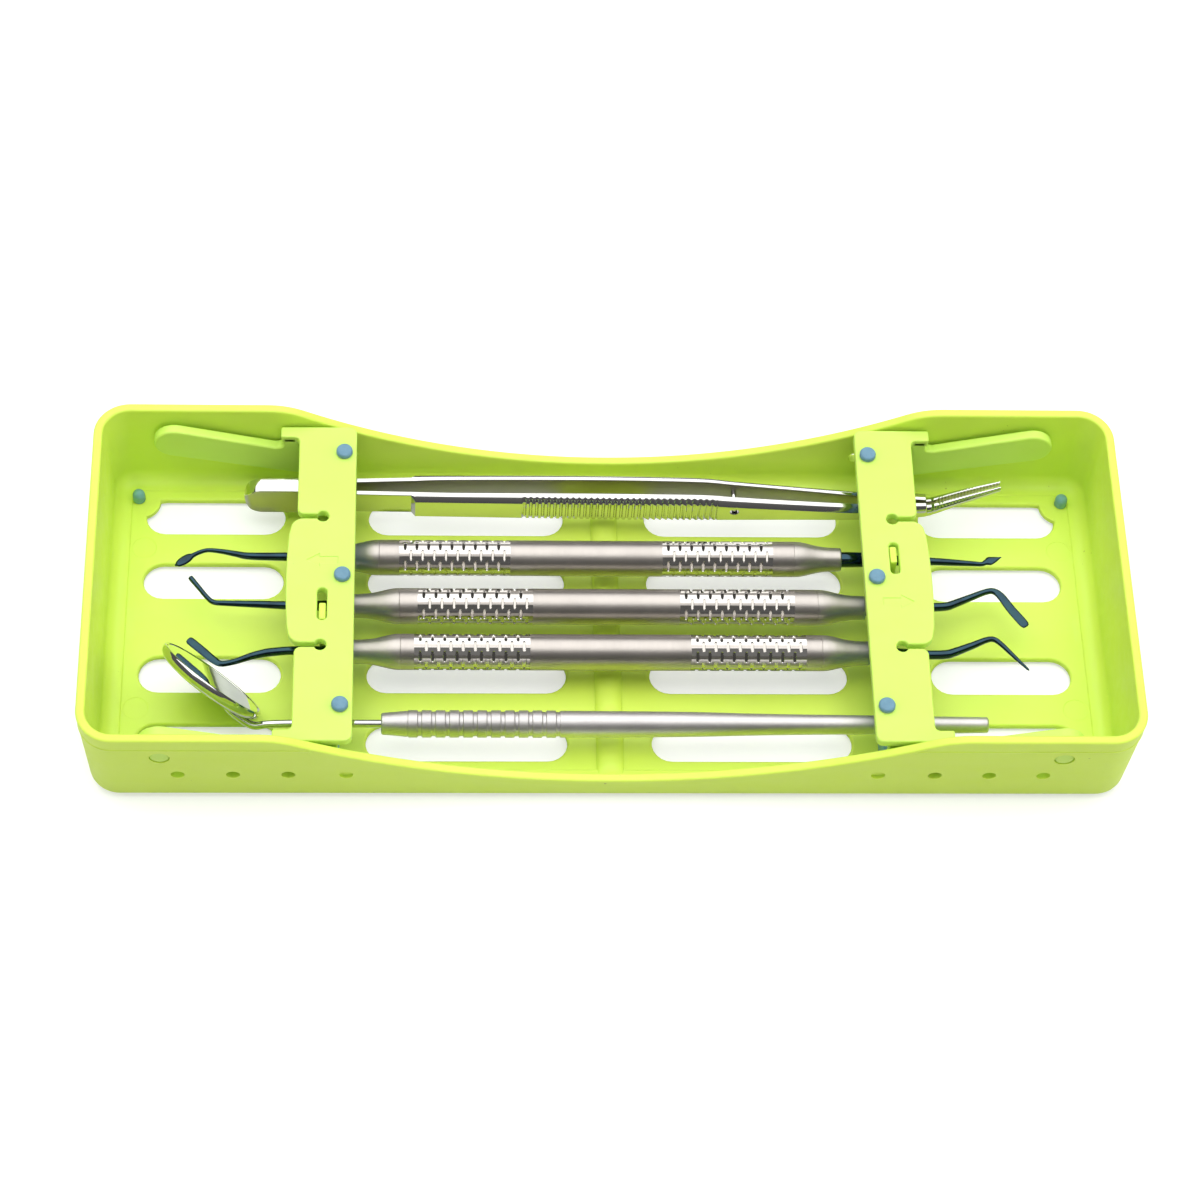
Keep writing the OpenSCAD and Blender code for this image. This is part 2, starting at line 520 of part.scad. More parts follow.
tray();
gate_left();
gate_right();
hold_down_strip_left();
hold_down_strip_right();
rest_rail_left();
rest_rail_right();
foot_front_left();
foot_front_right();
foot_back_left();
foot_back_right();
tweezers_arm_back();
tweezers_arm_front();
tweezers_guide_pin();
carver_handle();
carver_cone_left();
carver_cone_right();
carver_tip_left();
carver_tip_right();
filler_handle();
filler_cone_left();
filler_cone_right();
filler_tip_left();
filler_tip_right();
shaper_handle();
shaper_cone_left();
shaper_cone_right();
shaper_tip_left();
shaper_tip_right();
mirror_handle();
mirror_stem();
mirror_cup();
mirror_glass();
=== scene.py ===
import math

import bpy
import bmesh
import numpy as np
from mathutils import Matrix, Vector
from mathutils.geometry import delaunay_2d_cdt


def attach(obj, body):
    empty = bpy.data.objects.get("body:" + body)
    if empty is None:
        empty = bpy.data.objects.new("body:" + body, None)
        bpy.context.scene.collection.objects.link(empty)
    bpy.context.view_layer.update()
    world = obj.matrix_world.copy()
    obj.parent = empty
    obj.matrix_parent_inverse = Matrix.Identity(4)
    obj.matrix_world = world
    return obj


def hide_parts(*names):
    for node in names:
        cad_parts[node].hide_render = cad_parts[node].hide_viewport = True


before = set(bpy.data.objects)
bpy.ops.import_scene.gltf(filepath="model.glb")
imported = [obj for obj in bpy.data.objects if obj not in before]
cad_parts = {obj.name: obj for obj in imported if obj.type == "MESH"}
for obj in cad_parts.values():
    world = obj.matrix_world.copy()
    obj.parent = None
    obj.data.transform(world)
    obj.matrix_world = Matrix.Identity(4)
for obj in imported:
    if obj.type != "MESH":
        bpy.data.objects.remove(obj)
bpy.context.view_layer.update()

MM = 0.001
scene = bpy.context.scene

# --------------------------------------------------------------------------
# materials
# --------------------------------------------------------------------------


def new_mat(name):
    m = bpy.data.materials.new(name)
    m.use_nodes = True
    nt = m.node_tree
    b = nt.nodes["Principled BSDF"]
    return m, nt, b


def nd(nt, kind, **props):
    n = nt.nodes.new(kind)
    for k, v in props.items():
        if k in n.inputs.keys():
            n.inputs[k].default_value = v
        else:
            setattr(n, k, v)
    return n


def noise(nt, scale, detail=4.0, rough=0.55, stretch=None):
    tc = nt.nodes.new("ShaderNodeTexCoord")
    src = tc.outputs["Object"]
    if stretch:
        mp = nt.nodes.new("ShaderNodeMapping")
        mp.inputs["Scale"].default_value = stretch
        nt.links.new(src, mp.inputs["Vector"])
        src = mp.outputs["Vector"]
    n = nt.nodes.new("ShaderNodeTexNoise")
    n.inputs["Scale"].default_value = scale
    n.inputs["Detail"].default_value = detail
    n.inputs["Roughness"].default_value = rough
    nt.links.new(src, n.inputs["Vector"])
    return n.outputs["Fac"]


def ramp(nt, fac, stops):
    r = nt.nodes.new("ShaderNodeValToRGB")
    el = r.color_ramp.elements
    while len(el) > len(stops):
        el.remove(el[-1])
    while len(el) < len(stops):
        el.new(0.5)
    for e, (p, c) in zip(el, stops):
        e.position = p
        e.color = (*c, 1.0) if len(c) == 3 else c
    nt.links.new(fac, r.inputs["Fac"])
    return r.outputs["Color"]


def mix(nt, fac, a, b, blend="MIX"):
    m = nt.nodes.new("ShaderNodeMix")
    m.data_type = "RGBA"
    m.blend_type = blend
    for sock, v in ((m.inputs[0], fac), (m.inputs[6], a), (m.inputs[7], b)):
        if hasattr(v, "is_output") or hasattr(v, "links"):
            nt.links.new(v, sock)
        elif isinstance(v, (int, float)):
            sock.default_value = v
        else:
            sock.default_value = (*v, 1.0)
    return m.outputs[2]


def maprange(nt, v, a, b, c, d):
    m = nt.nodes.new("ShaderNodeMapRange")
    m.inputs["From Min"].default_value = a
    m.inputs["From Max"].default_value = b
    m.inputs["To Min"].default_value = c
    m.inputs["To Max"].default_value = d
    nt.links.new(v, m.inputs["Value"])
    return m.outputs["Result"]


def bump(nt, height, strength, distance, prev=None):
    b = nt.nodes.new("ShaderNodeBump")
    b.inputs["Strength"].default_value = strength
    b.inputs["Distance"].default_value = distance
    nt.links.new(height, b.inputs["Height"])
    if prev is not None:
        nt.links.new(prev, b.inputs["Normal"])
    return b.outputs["Normal"]


def lime(name, base, deep, rough=0.42):
    """Moulded polypropylene: faint flow marks, fine grain, scuffs and a few dark specks."""
    m, nt, b = new_mat(name)
    flow = noise(nt, 26, 3, 0.5, (0.35, 1.0, 1.0))
    col = mix(nt, maprange(nt, flow, 0.35, 0.7, 0.0, 1.0), base, deep)
    specks = noise(nt, 1500, 1.0, 0.4)
    big = noise(nt, 90, 2.0, 0.5)
    sp = maprange(nt, specks, 0.765, 0.80, 0.0, 1.0)
    gate = maprange(nt, big, 0.58, 0.66, 0.0, 0.55)
    mul = nt.nodes.new("ShaderNodeMath"); mul.operation = "MULTIPLY"
    nt.links.new(sp, mul.inputs[0]); nt.links.new(gate, mul.inputs[1])
    col = mix(nt, mul.outputs[0], col, (0.16, 0.2, 0.03))
    nt.links.new(col, b.inputs["Base Color"])
    scuff = noise(nt, 340, 5, 0.65, (0.25, 1.0, 1.0))
    nt.links.new(maprange(nt, scuff, 0.3, 0.75, rough - 0.05, rough + 0.12), b.inputs["Roughness"])
    g1 = bump(nt, noise(nt, 2600, 2, 0.5), 0.10, 0.00006)
    g2 = bump(nt, noise(nt, 60, 3, 0.5), 0.10, 0.0006, g1)
    nt.links.new(g2, b.inputs["Normal"])
    b.inputs["IOR"].default_value = 1.49
    b.inputs["Subsurface Weight"].default_value = 0.18
    b.inputs["Subsurface Radius"].default_value = (1.0, 1.0, 0.25)
    b.inputs["Subsurface Scale"].default_value = 0.0016
    return m


def silicone(name, base, deep):
    m, nt, b = new_mat(name)
    dust = noise(nt, 700, 4, 0.6)
    nt.links.new(mix(nt, maprange(nt, dust, 0.35, 0.7, 0, 1), base, deep), b.inputs["Base Color"])
    nt.links.new(maprange(nt, noise(nt, 900, 3, 0.5), 0.3, 0.7, 0.5, 0.68), b.inputs["Roughness"])
    nt.links.new(bump(nt, noise(nt, 3200, 2, 0.6), 0.25, 0.00008), b.inputs["Normal"])
    b.inputs["IOR"].default_value = 1.42
    b.inputs["Subsurface Weight"].default_value = 0.1
    b.inputs["Subsurface Radius"].default_value = (0.5, 0.8, 1.0)
    b.inputs["Subsurface Scale"].default_value = 0.0008
    return m


def satin_steel(name, base=(0.60, 0.55, 0.51), r0=0.30, r1=0.42, grain=0.22):
    """Fine bead-blasted and turned steel: turning lines run round the axis X."""
    m, nt, b = new_mat(name)
    b.inputs["Metallic"].default_value = 1.0
    turn = noise(nt, 900, 3, 0.6, (6.0, 0.18, 0.18))
    blotch = noise(nt, 120, 4, 0.6)
    nt.links.new(mix(nt, maprange(nt, blotch, 0.35, 0.7, 0, 1), base, tuple(c * 0.90 for c in base)), b.inputs["Base Color"])
    nt.links.new(maprange(nt, turn, 0.25, 0.75, r0, r1), b.inputs["Roughness"])
    n1 = bump(nt, turn, grain, 0.00003)
    n2 = bump(nt, noise(nt, 5200, 2, 0.6), 0.16, 0.00003, n1)
    nt.links.new(n2, b.inputs["Normal"])
    return m


def bright_steel(name, base=(0.70, 0.69, 0.67), r0=0.04, r1=0.14, fine=0.06):
    """Polished or bright-cut steel with faint hairlines."""
    m, nt, b = new_mat(name)
    b.inputs["Metallic"].default_value = 1.0
    hair = noise(nt, 1200, 3, 0.6, (0.12, 1.0, 1.0))
    smear = noise(nt, 160, 4, 0.6)
    nt.links.new(mix(nt, maprange(nt, smear, 0.35, 0.75, 0, 1), base, tuple(c * 0.93 for c in base)), b.inputs["Base Color"])
    nt.links.new(maprange(nt, smear, 0.3, 0.75, r0, r1), b.inputs["Roughness"])
    nt.links.new(bump(nt, hair, fine, 0.00003), b.inputs["Normal"])
    return m


def blue_coat(name):
    """Dark blue hard coating on polished steel, worn a little brighter in places."""
    m, nt, b = new_mat(name)
    b.inputs["Metallic"].default_value = 1.0
    tone = noise(nt, 260, 4, 0.6)
    col = ramp(nt, tone, [(0.30, (0.006, 0.023, 0.035)), (0.52, (0.011, 0.045, 0.068)), (0.68, (0.015, 0.058, 0.063)), (0.85, (0.030, 0.055, 0.092))])
    nt.links.new(col, b.inputs["Base Color"])
    nt.links.new(maprange(nt, noise(nt, 500, 3, 0.5), 0.3, 0.75, 0.07, 0.15), b.inputs["Roughness"])
    nt.links.new(bump(nt, noise(nt, 1800, 3, 0.6), 0.08, 0.00003), b.inputs["Normal"])
    b.inputs["Coat Weight"].default_value = 0.5
    b.inputs["Coat Roughness"].default_value = 0.08
    return m


def mirror_glass_mat(name):
    m, nt, b = new_mat(name)
    b.inputs["Metallic"].default_value = 1.0
    smear = noise(nt, 90, 4, 0.55)
    nt.links.new(mix(nt, maprange(nt, smear, 0.3, 0.7, 0, 1), (0.86, 0.885, 0.875), (0.80, 0.835, 0.82)), b.inputs["Base Color"])
    nt.links.new(maprange(nt, smear, 0.35, 0.75, 0.012, 0.035), b.inputs["Roughness"])
    return m


M_LIME = lime("lime_tray", (0.665, 0.86, 0.108), (0.64, 0.835, 0.093))
# The gate is the tray's lime plastic drawn as a lit copy: less red and a little paler, set for its brightly lit
# top.
M_LIME_GATE_LIT_COPY = lime("lime_gate", (0.585, 0.825, 0.14), (0.565, 0.81, 0.125), 0.45)
# One silicone drawn as two copies. The blue one is its look in full light. The teal one is painted shade, greener
# with the lime bounce it gets under the gate and tray.
M_SILICONE_LIT_LOOK = silicone("silicone_blue_lit_look", (0.155, 0.30, 0.40), (0.12, 0.25, 0.345))
M_SILICONE_SHADED_LOOK = silicone("silicone_teal_shaded_look", (0.185, 0.40, 0.385), (0.15, 0.34, 0.335))
M_SATIN = satin_steel("steel_satin", (0.56, 0.52, 0.48), 0.33, 0.46, 0.34)
M_CONE = satin_steel("steel_cone", (0.58, 0.545, 0.50), 0.35, 0.47, 0.32)
M_BRIGHT = bright_steel("steel_bright_cut", (0.72, 0.70, 0.67), 0.03, 0.07)
M_POLISH = bright_steel("steel_polished", (0.68, 0.675, 0.655), 0.05, 0.13)
# Rougher brushed steel for the arms' inner faces. Its darker colour is painted shade between the two arms.
M_BRUSH_SHADED = bright_steel("steel_brushed_face_painted_shade", (0.47, 0.44, 0.40), 0.30, 0.42, 0.10)
M_FROST = satin_steel("steel_frosted", (0.74, 0.715, 0.70), 0.42, 0.54, 0.28)
M_CHROME = bright_steel("chrome", (0.75, 0.75, 0.74), 0.02, 0.07, 0.03)
M_BLUE = blue_coat("blue_coating")
M_GLASS = mirror_glass_mat("mirror_face")

# --------------------------------------------------------------------------
# mesh helpers (all in millimetres, scaled to metres when the object is made)
# --------------------------------------------------------------------------


def add_obj(name, verts, faces, mats, face_mat=None, sharp=32.0, weighted=False, recalc=True):
    me = bpy.data.meshes.new(name)
    v = np.asarray(verts, float) * MM
    me.from_pydata(v.tolist(), [], [tuple(int(i) for i in f) for f in faces])
    for m in mats:
        me.materials.append(m)
    if face_mat is not None:
        me.polygons.foreach_set("material_index", np.asarray(face_mat, np.int32))
    if recalc:
        bm = bmesh.new()
        bm.from_mesh(me)
        bmesh.ops.recalc_face_normals(bm, faces=bm.faces)
        bm.to_mesh(me)
        bm.free()
    me.polygons.foreach_set("use_smooth", [True] * len(me.polygons))
    me.set_sharp_from_angle(angle=math.radians(sharp))
    me.update()
    o = bpy.data.objects.new(name, me)
    scene.collection.objects.link(o)
    if weighted:
        w = o.modifiers.new("weighted", "WEIGHTED_NORMAL")
        w.mode = "FACE_AREA"
        w.weight = 100
        w.keep_sharp = True
    return o


def grid_faces(n, m, closed=True, start=0):
    """Quads of n rings with m points each."""
    out = []
    for i in range(n - 1):
        for k in range(m if closed else m - 1):
            a = start + i * m + k
            b = start + i * m + (k + 1) % m
            out.append((a, b, b + m, a + m))
    return out


def loft(rings, cap=True):
    n, m, _ = rings.shape
    v = rings.reshape(-1, 3)
    f = grid_faces(n, m)
    if cap:
        f.append(tuple(range(m))[::-1])
        f.append(tuple((n - 1) * m + k for k in range(m)))
    return v, f


def revolve(profile, seg=64, axis="x", at=(0, 0, 0)):
    """profile: list of (along, radius). Ends on the axis are closed with one point."""
    p = np.asarray(profile, float)
    a = np.linspace(0, 2 * math.pi, seg, endpoint=False)
    verts, faces, rows = [], [], []
    for s, r in p:
        if r < 1e-6:
            rows.append(("pt", len(verts)))
            verts.append((s, 0, 0))
        else:
            rows.append(("ring", len(verts)))
            for t in a:
                verts.append((s, r * math.cos(t), r * math.sin(t)))
    for (k0, i0), (k1, i1) in zip(rows, rows[1:]):
        for k in range(seg):
            j = (k + 1) % seg
            if k0 == "ring" and k1 == "ring":
                faces.append((i0 + k, i0 + j, i1 + j, i1 + k))
            elif k0 == "pt" and k1 == "ring":
                faces.append((i0, i1 + j, i1 + k))
            elif k0 == "ring" and k1 == "pt":
                faces.append((i0 + k, i0 + j, i1))
    v = np.asarray(verts, float)
    if axis == "z":
        v = np.stack([v[:, 1], v[:, 2], v[:, 0]], 1)
    elif axis == "y":
        v = np.stack([v[:, 2], v[:, 0], v[:, 1]], 1)
    return v + np.asarray(at, float), faces


def catmull(points, n):
    """Smooth curve through rows of any width."""
    p = np.asarray(points, float)
    m = len(p)
    out = []
    for i in range(m - 1):
        a, b, c, d = p[max(i - 1, 0)], p[i], p[i + 1], p[min(i + 2, m - 1)]
        for k in range(n):
            t = k / n
            out.append(0.5 * (2 * b + (c - a) * t + (2 * a - 5 * b + 4 * c - d) * t * t + (3 * b - 3 * c + d - a) * t ** 3))
    out.append(p[-1])
    return np.asarray(out)


def arc(cx, cy, r, a0, a1, n):
    a = np.radians(np.linspace(a0, a1, n))
    return np.stack([cx + r * np.cos(a), cy + r * np.sin(a)], 1)


def rrect_loop(x0, y0, x1, y1, r, n=8, straight=1):
    """Counter-clockwise rounded rectangle."""
    pts = []
    for cx, cy, a in ((x1 - r, y1 - r, 0), (x0 + r, y1 - r, 90), (x0 + r, y0 + r, 180), (x1 - r, y0 + r, 270)):
        pts.append(arc(cx, cy, r, a, a + 90, n + 1))
    return np.concatenate(pts)


def densify(loop, step):
    """Adds points on the long straight runs of a closed loop."""
    out = []
    n = len(loop)
    for i in range(n):
        a, b = loop[i], loop[(i + 1) % n]
        k = max(1, int(np.linalg.norm(b - a) / step))
        for j in range(k):
            out.append(a + (b - a) * j / k)
    return np.asarray(out)


def clean_loop(loop, eps=1e-5):
    out = [loop[0]]
    for p in loop[1:]:
        if np.linalg.norm(p - out[-1]) > eps:
            out.append(p)
    if np.linalg.norm(out[0] - out[-1]) < eps:
        out.pop()
    return np.asarray(out)


def area(loop):
    x, y = loop[:, 0], loop[:, 1]
    return 0.5 * float(np.sum(x * np.roll(y, -1) - np.roll(x, -1) * y))


def offset_loop(loop, d):
    """Moves a closed loop to its left by d (mitred)."""
    p = np.roll(loop, 1, 0)
    q = np.roll(loop, -1, 0)
    e0 = loop - p
    e1 = q - loop
    e0 /= np.linalg.norm(e0, axis=1)[:, None]
    e1 /= np.linalg.norm(e1, axis=1)[:, None]
    n0 = np.stack([-e0[:, 1], e0[:, 0]], 1)
    n1 = np.stack([-e1[:, 1], e1[:, 0]], 1)
    b = n0 + n1
    b /= np.linalg.norm(b, axis=1)[:, None]
    c = np.clip((b * n0).sum(1), 0.5, 1.0)
    return loop + b * (d / c)[:, None]


def inside(pt, loop):
    x, y = pt
    x0, y0 = loop[:, 0], loop[:, 1]
    x1, y1 = np.roll(x0, -1), np.roll(y0, -1)
    cond = (y0 > y) != (y1 > y)
    with np.errstate(divide="ignore", invalid="ignore"):
        xi = (x1 - x0) * (y - y0) / (y1 - y0) + x0
    return bool(np.count_nonzero(cond & (x < xi)) % 2)


def fill(outer, holes, extra=()):
    """Triangles over outer minus holes; extra loops are kept as edges. Returns (index triangles)
    over the points of outer, holes and extra, one after another."""
    loops = [outer, *holes, *extra]
    pts = np.concatenate(loops)
    edges, k = [], 0
    for lp in loops:
        n = len(lp)
        edges += [(k + i, k + (i + 1) % n) for i in range(n)]
        k += n
    r = delaunay_2d_cdt([Vector(p) for p in pts], edges, [], 0, 1e-7)
    vout, fout, orig = r[0], r[2], r[3]
    back = [o[0] if o else None for o in orig]
    out = []
    for f in fout:
        c = np.mean([vout[i] for i in f], axis=0)
        if not inside(c, outer) or any(inside(c, h) for h in holes):
            continue
        ids = [back[i] for i in f]
        if None in ids:
            raise RuntimeError("fill made a new point")
        out.append(tuple(ids))
    return out


class Shell:
    """Collects welded parts of one mesh."""

    def __init__(self):
        self.v, self.f, self.m = [], [], []

    def add(self, verts, faces, mat=0):
        k = len(self.v)
        self.v += [tuple(p) for p in np.asarray(verts, float)]
        self.f += [tuple(k + i for i in f) for f in faces]
        self.m += [mat] * len(faces)
        return k

    def done(self, name, mats, sharp=32.0, weighted=False, weld=2e-4):
        me = bpy.data.meshes.new(name)
        v = np.asarray(self.v) * MM
        me.from_pydata(v.tolist(), [], self.f)
        me.polygons.foreach_set("material_index", np.asarray(self.m, np.int32))
        for m in mats:
            me.materials.append(m)
        bm = bmesh.new()
        bm.from_mesh(me)
        bmesh.ops.remove_doubles(bm, verts=bm.verts, dist=weld * MM)
        bmesh.ops.recalc_face_normals(bm, faces=bm.faces)
        bm.to_mesh(me)
        bm.free()
        me.polygons.foreach_set("use_smooth", [True] * len(me.polygons))
        me.set_sharp_from_angle(angle=math.radians(sharp))
        o = bpy.data.objects.new(name, me)
        scene.collection.objects.link(o)
        if weighted:
            w = o.modifiers.new("weighted", "WEIGHTED_NORMAL")
            w.mode = "FACE_AREA"
            w.weight = 100
            w.keep_sharp = True
        return o


def plate(shell, outer, holes, z0, z1, r=0.3, seg=4, mat=0, place=None, dent=None):
    """A flat moulded plate with rounded edges. outer is counter-clockwise, holes clockwise, so that the
    left side is always material. dent: list of (loop, depth) sunk into the top face."""
    loops = [outer, *holes]
    prof = []  # (inset, z)
    for i in range(seg + 1):
        a = math.pi / 2 * i / seg
        prof.append((r * (1 - math.sin(a)), z0 + r * (1 - math.cos(a))))
    for i in range(seg + 1):
        a = math.pi / 2 * i / seg
        prof.append((r * (1 - math.cos(a)), z1 - r * (1 - math.sin(a))))
    # order from the bottom face's edge, up the side, to the top face's edge
    tr = place or (lambda p: p)
    for lp in loops:
        n = len(lp)
        rows = [np.column_stack([offset_loop(lp, d), np.full(n, z)]) for d, z in prof]
        shell.add(tr(np.concatenate(rows)), grid_faces(len(rows), n), mat)
    for z, top in ((z0, False), (z1, True)):
        ins = [offset_loop(lp, r) for lp in loops]
        extra, depth = [], []
        if top and dent:
            for lp, dp in dent:
                extra += [lp, offset_loop(lp, 0.12)]
                depth += [0.0, dp]
        tris = fill(ins[0], ins[1:], extra)
        pts = np.concatenate([*ins, *extra])
        zz = np.full(len(pts), float(z))
        k = sum(len(i) for i in ins)
        for e, dp in zip(extra, depth):
            zz[k:k + len(e)] -= dp
            k += len(e)
        shell.add(tr(np.column_stack([pts, zz])), tris, mat)


def swap_xz(p):
    """Plan (x, y, z) drawn as (x, height, depth) to the row frame (x, depth, height)."""
    return np.stack([p[:, 0], p[:, 2], p[:, 1]], 1)


# --------------------------------------------------------------------------
# tray
# --------------------------------------------------------------------------
L, W, H = 203.2, 77.0, 24.0
HX, HY = L / 2, W / 2
WALL, FLOOR, CR, DRAFT = 1.8, 2.2, 7.0, 1.2
DIP_Z, DIP_R = 7.4, 130.0


def rim_height(x):
    """Height of the long walls' rim: a wide dip, blended into the level ends."""
    ax = abs(x)
    fr = 16.0
    cz = DIP_Z + DIP_R
    fz = H - fr
    fx = math.sqrt((DIP_R + fr) ** 2 - (cz - fz) ** 2)
    xt = fx * DIP_R / (DIP_R + fr)
    if ax >= fx:
        return H
    if ax >= xt:
        return fz + math.sqrt(max(fr * fr - (ax - fx) ** 2, 0.0))
    return cz - math.sqrt(DIP_R ** 2 - ax * ax)


def inset(z):
    return DRAFT * (1 - z / H)


def perimeter():
    """Rim's outside line: points, outward normals and rim heights."""
    pts, nrm, hts = [], [], []

    def put(x, y, nx, ny, h):
        pts.append((x, y)); nrm.append((nx, ny)); hts.append(h)

    xs = sorted(set(np.round(np.concatenate([
        np.linspace(-94.6, -72, 14), np.linspace(-72, -48, 40), np.linspace(-48, 48, 84),
        np.linspace(48, 72, 40), np.linspace(72, 94.6, 14)]), 4)))
    for x in xs:
        put(x, -HY, 0, -1, rim_height(x))
    for a in np.linspace(-90, 0, 15)[1:-1]:
        c, s = math.cos(math.radians(a)), math.sin(math.radians(a))
        put(HX - CR + CR * c, -HY + CR + CR * s, c, s, H)
    for y in np.linspace(-HY + CR, HY - CR, 22):
        put(HX, y, 1, 0, H)
    for a in np.linspace(0, 90, 15)[1:-1]:
        c, s = math.cos(math.radians(a)), math.sin(math.radians(a))
        put(HX - CR + CR * c, HY - CR + CR * s, c, s, H)
    for x in xs[::-1]:
        put(x, HY, 0, 1, rim_height(x))
    for a in np.linspace(90, 180, 15)[1:-1]:
        c, s = math.cos(math.radians(a)), math.sin(math.radians(a))
        put(-HX + CR + CR * c, HY - CR + CR * s, c, s, H)
    for y in np.linspace(HY - CR, -HY + CR, 22):
        put(-HX, y, -1, 0, H)
    for a in np.linspace(180, 270, 15)[1:-1]:
        c, s = math.cos(math.radians(a)), math.sin(math.radians(a))
        put(-HX + CR + CR * c, -HY + CR + CR * s, c, s, H)
    return np.asarray(pts), np.asarray(nrm), np.asarray(hts)


def wall_profile(h):
    """(inset, z) from the floor inside, over the rim, down outside and under the foot."""
    p = []
    fi = 2.6                                   # inside fillet
    base = inset(FLOOR) + WALL
    for a in np.linspace(0, 82, 8):
        t = math.radians(a)
        p.append((base + fi - 0.12 - fi * math.sin(t) + 0.12 * (1 - a / 82.0), FLOOR + fi * (1 - math.cos(t))))
    p.append((inset(5.4) + WALL, 5.4 if h > 8 else 5.2))
    zi = np.linspace(5.9, h - 0.75, 6)
    for z in zi:
        p.append((inset(z) + WALL, z))
    rr = 0.45
    for a in np.linspace(0, 90, 6):
        t = math.radians(a)
        p.append((inset(h) + WALL - rr * (1 - math.cos(t)), h - rr * (1 - math.sin(t))))
    for a in np.linspace(90, 0, 6):
        t = math.radians(a)
        p.append((inset(h) + rr * (1 - math.cos(t)), h - rr * (1 - math.sin(t))))
    # outside: a low step below the rim where the mould parts
    s = 1.0 if h > 20.9 else 0.0
    zs = 20.3 if h > 20.9 else max(h - 1.6, 4.2)
    top = h - 0.75
    if h > 20.9:
        top = h - 0.6
    p.append((inset(top), top))
    p.append((inset(zs), zs + 0.10))
    p.append((inset(zs) + 0.10 * s, zs))
    p.append((inset(zs) - 0.10 * s, zs - 0.16))
    p.append((inset(zs) - 0.02 * s, zs - 0.45))
    for z in np.linspace(zs - 0.9, 3.7, 4):
        p.append((inset(z), z))
    fo = 3.0
    for a in np.linspace(0, 90, 9):
        t = math.radians(a)
        p.append((inset(3.0) + fo * (1 - math.cos(t)) * 0.92, 3.0 - 3.0 * math.sin(t)))
    p.append((5.4, 0.0))
    p.append((5.8, 0.0))
    p.append((6.05, 0.12))
    p.append((6.15, 0.6))
    p.append((6.35, 0.6))
    return p


def stadium(x0, x1, y, w, grow=0.0, n=12):
    """Clockwise stadium (a hole)."""
    r = w / 2 + grow
    a = arc(x1 - w / 2, y, r, 90, -90, n)
    b = arc(x0 + w / 2, y, r, -90, -270, n)
    return np.concatenate([a, b])


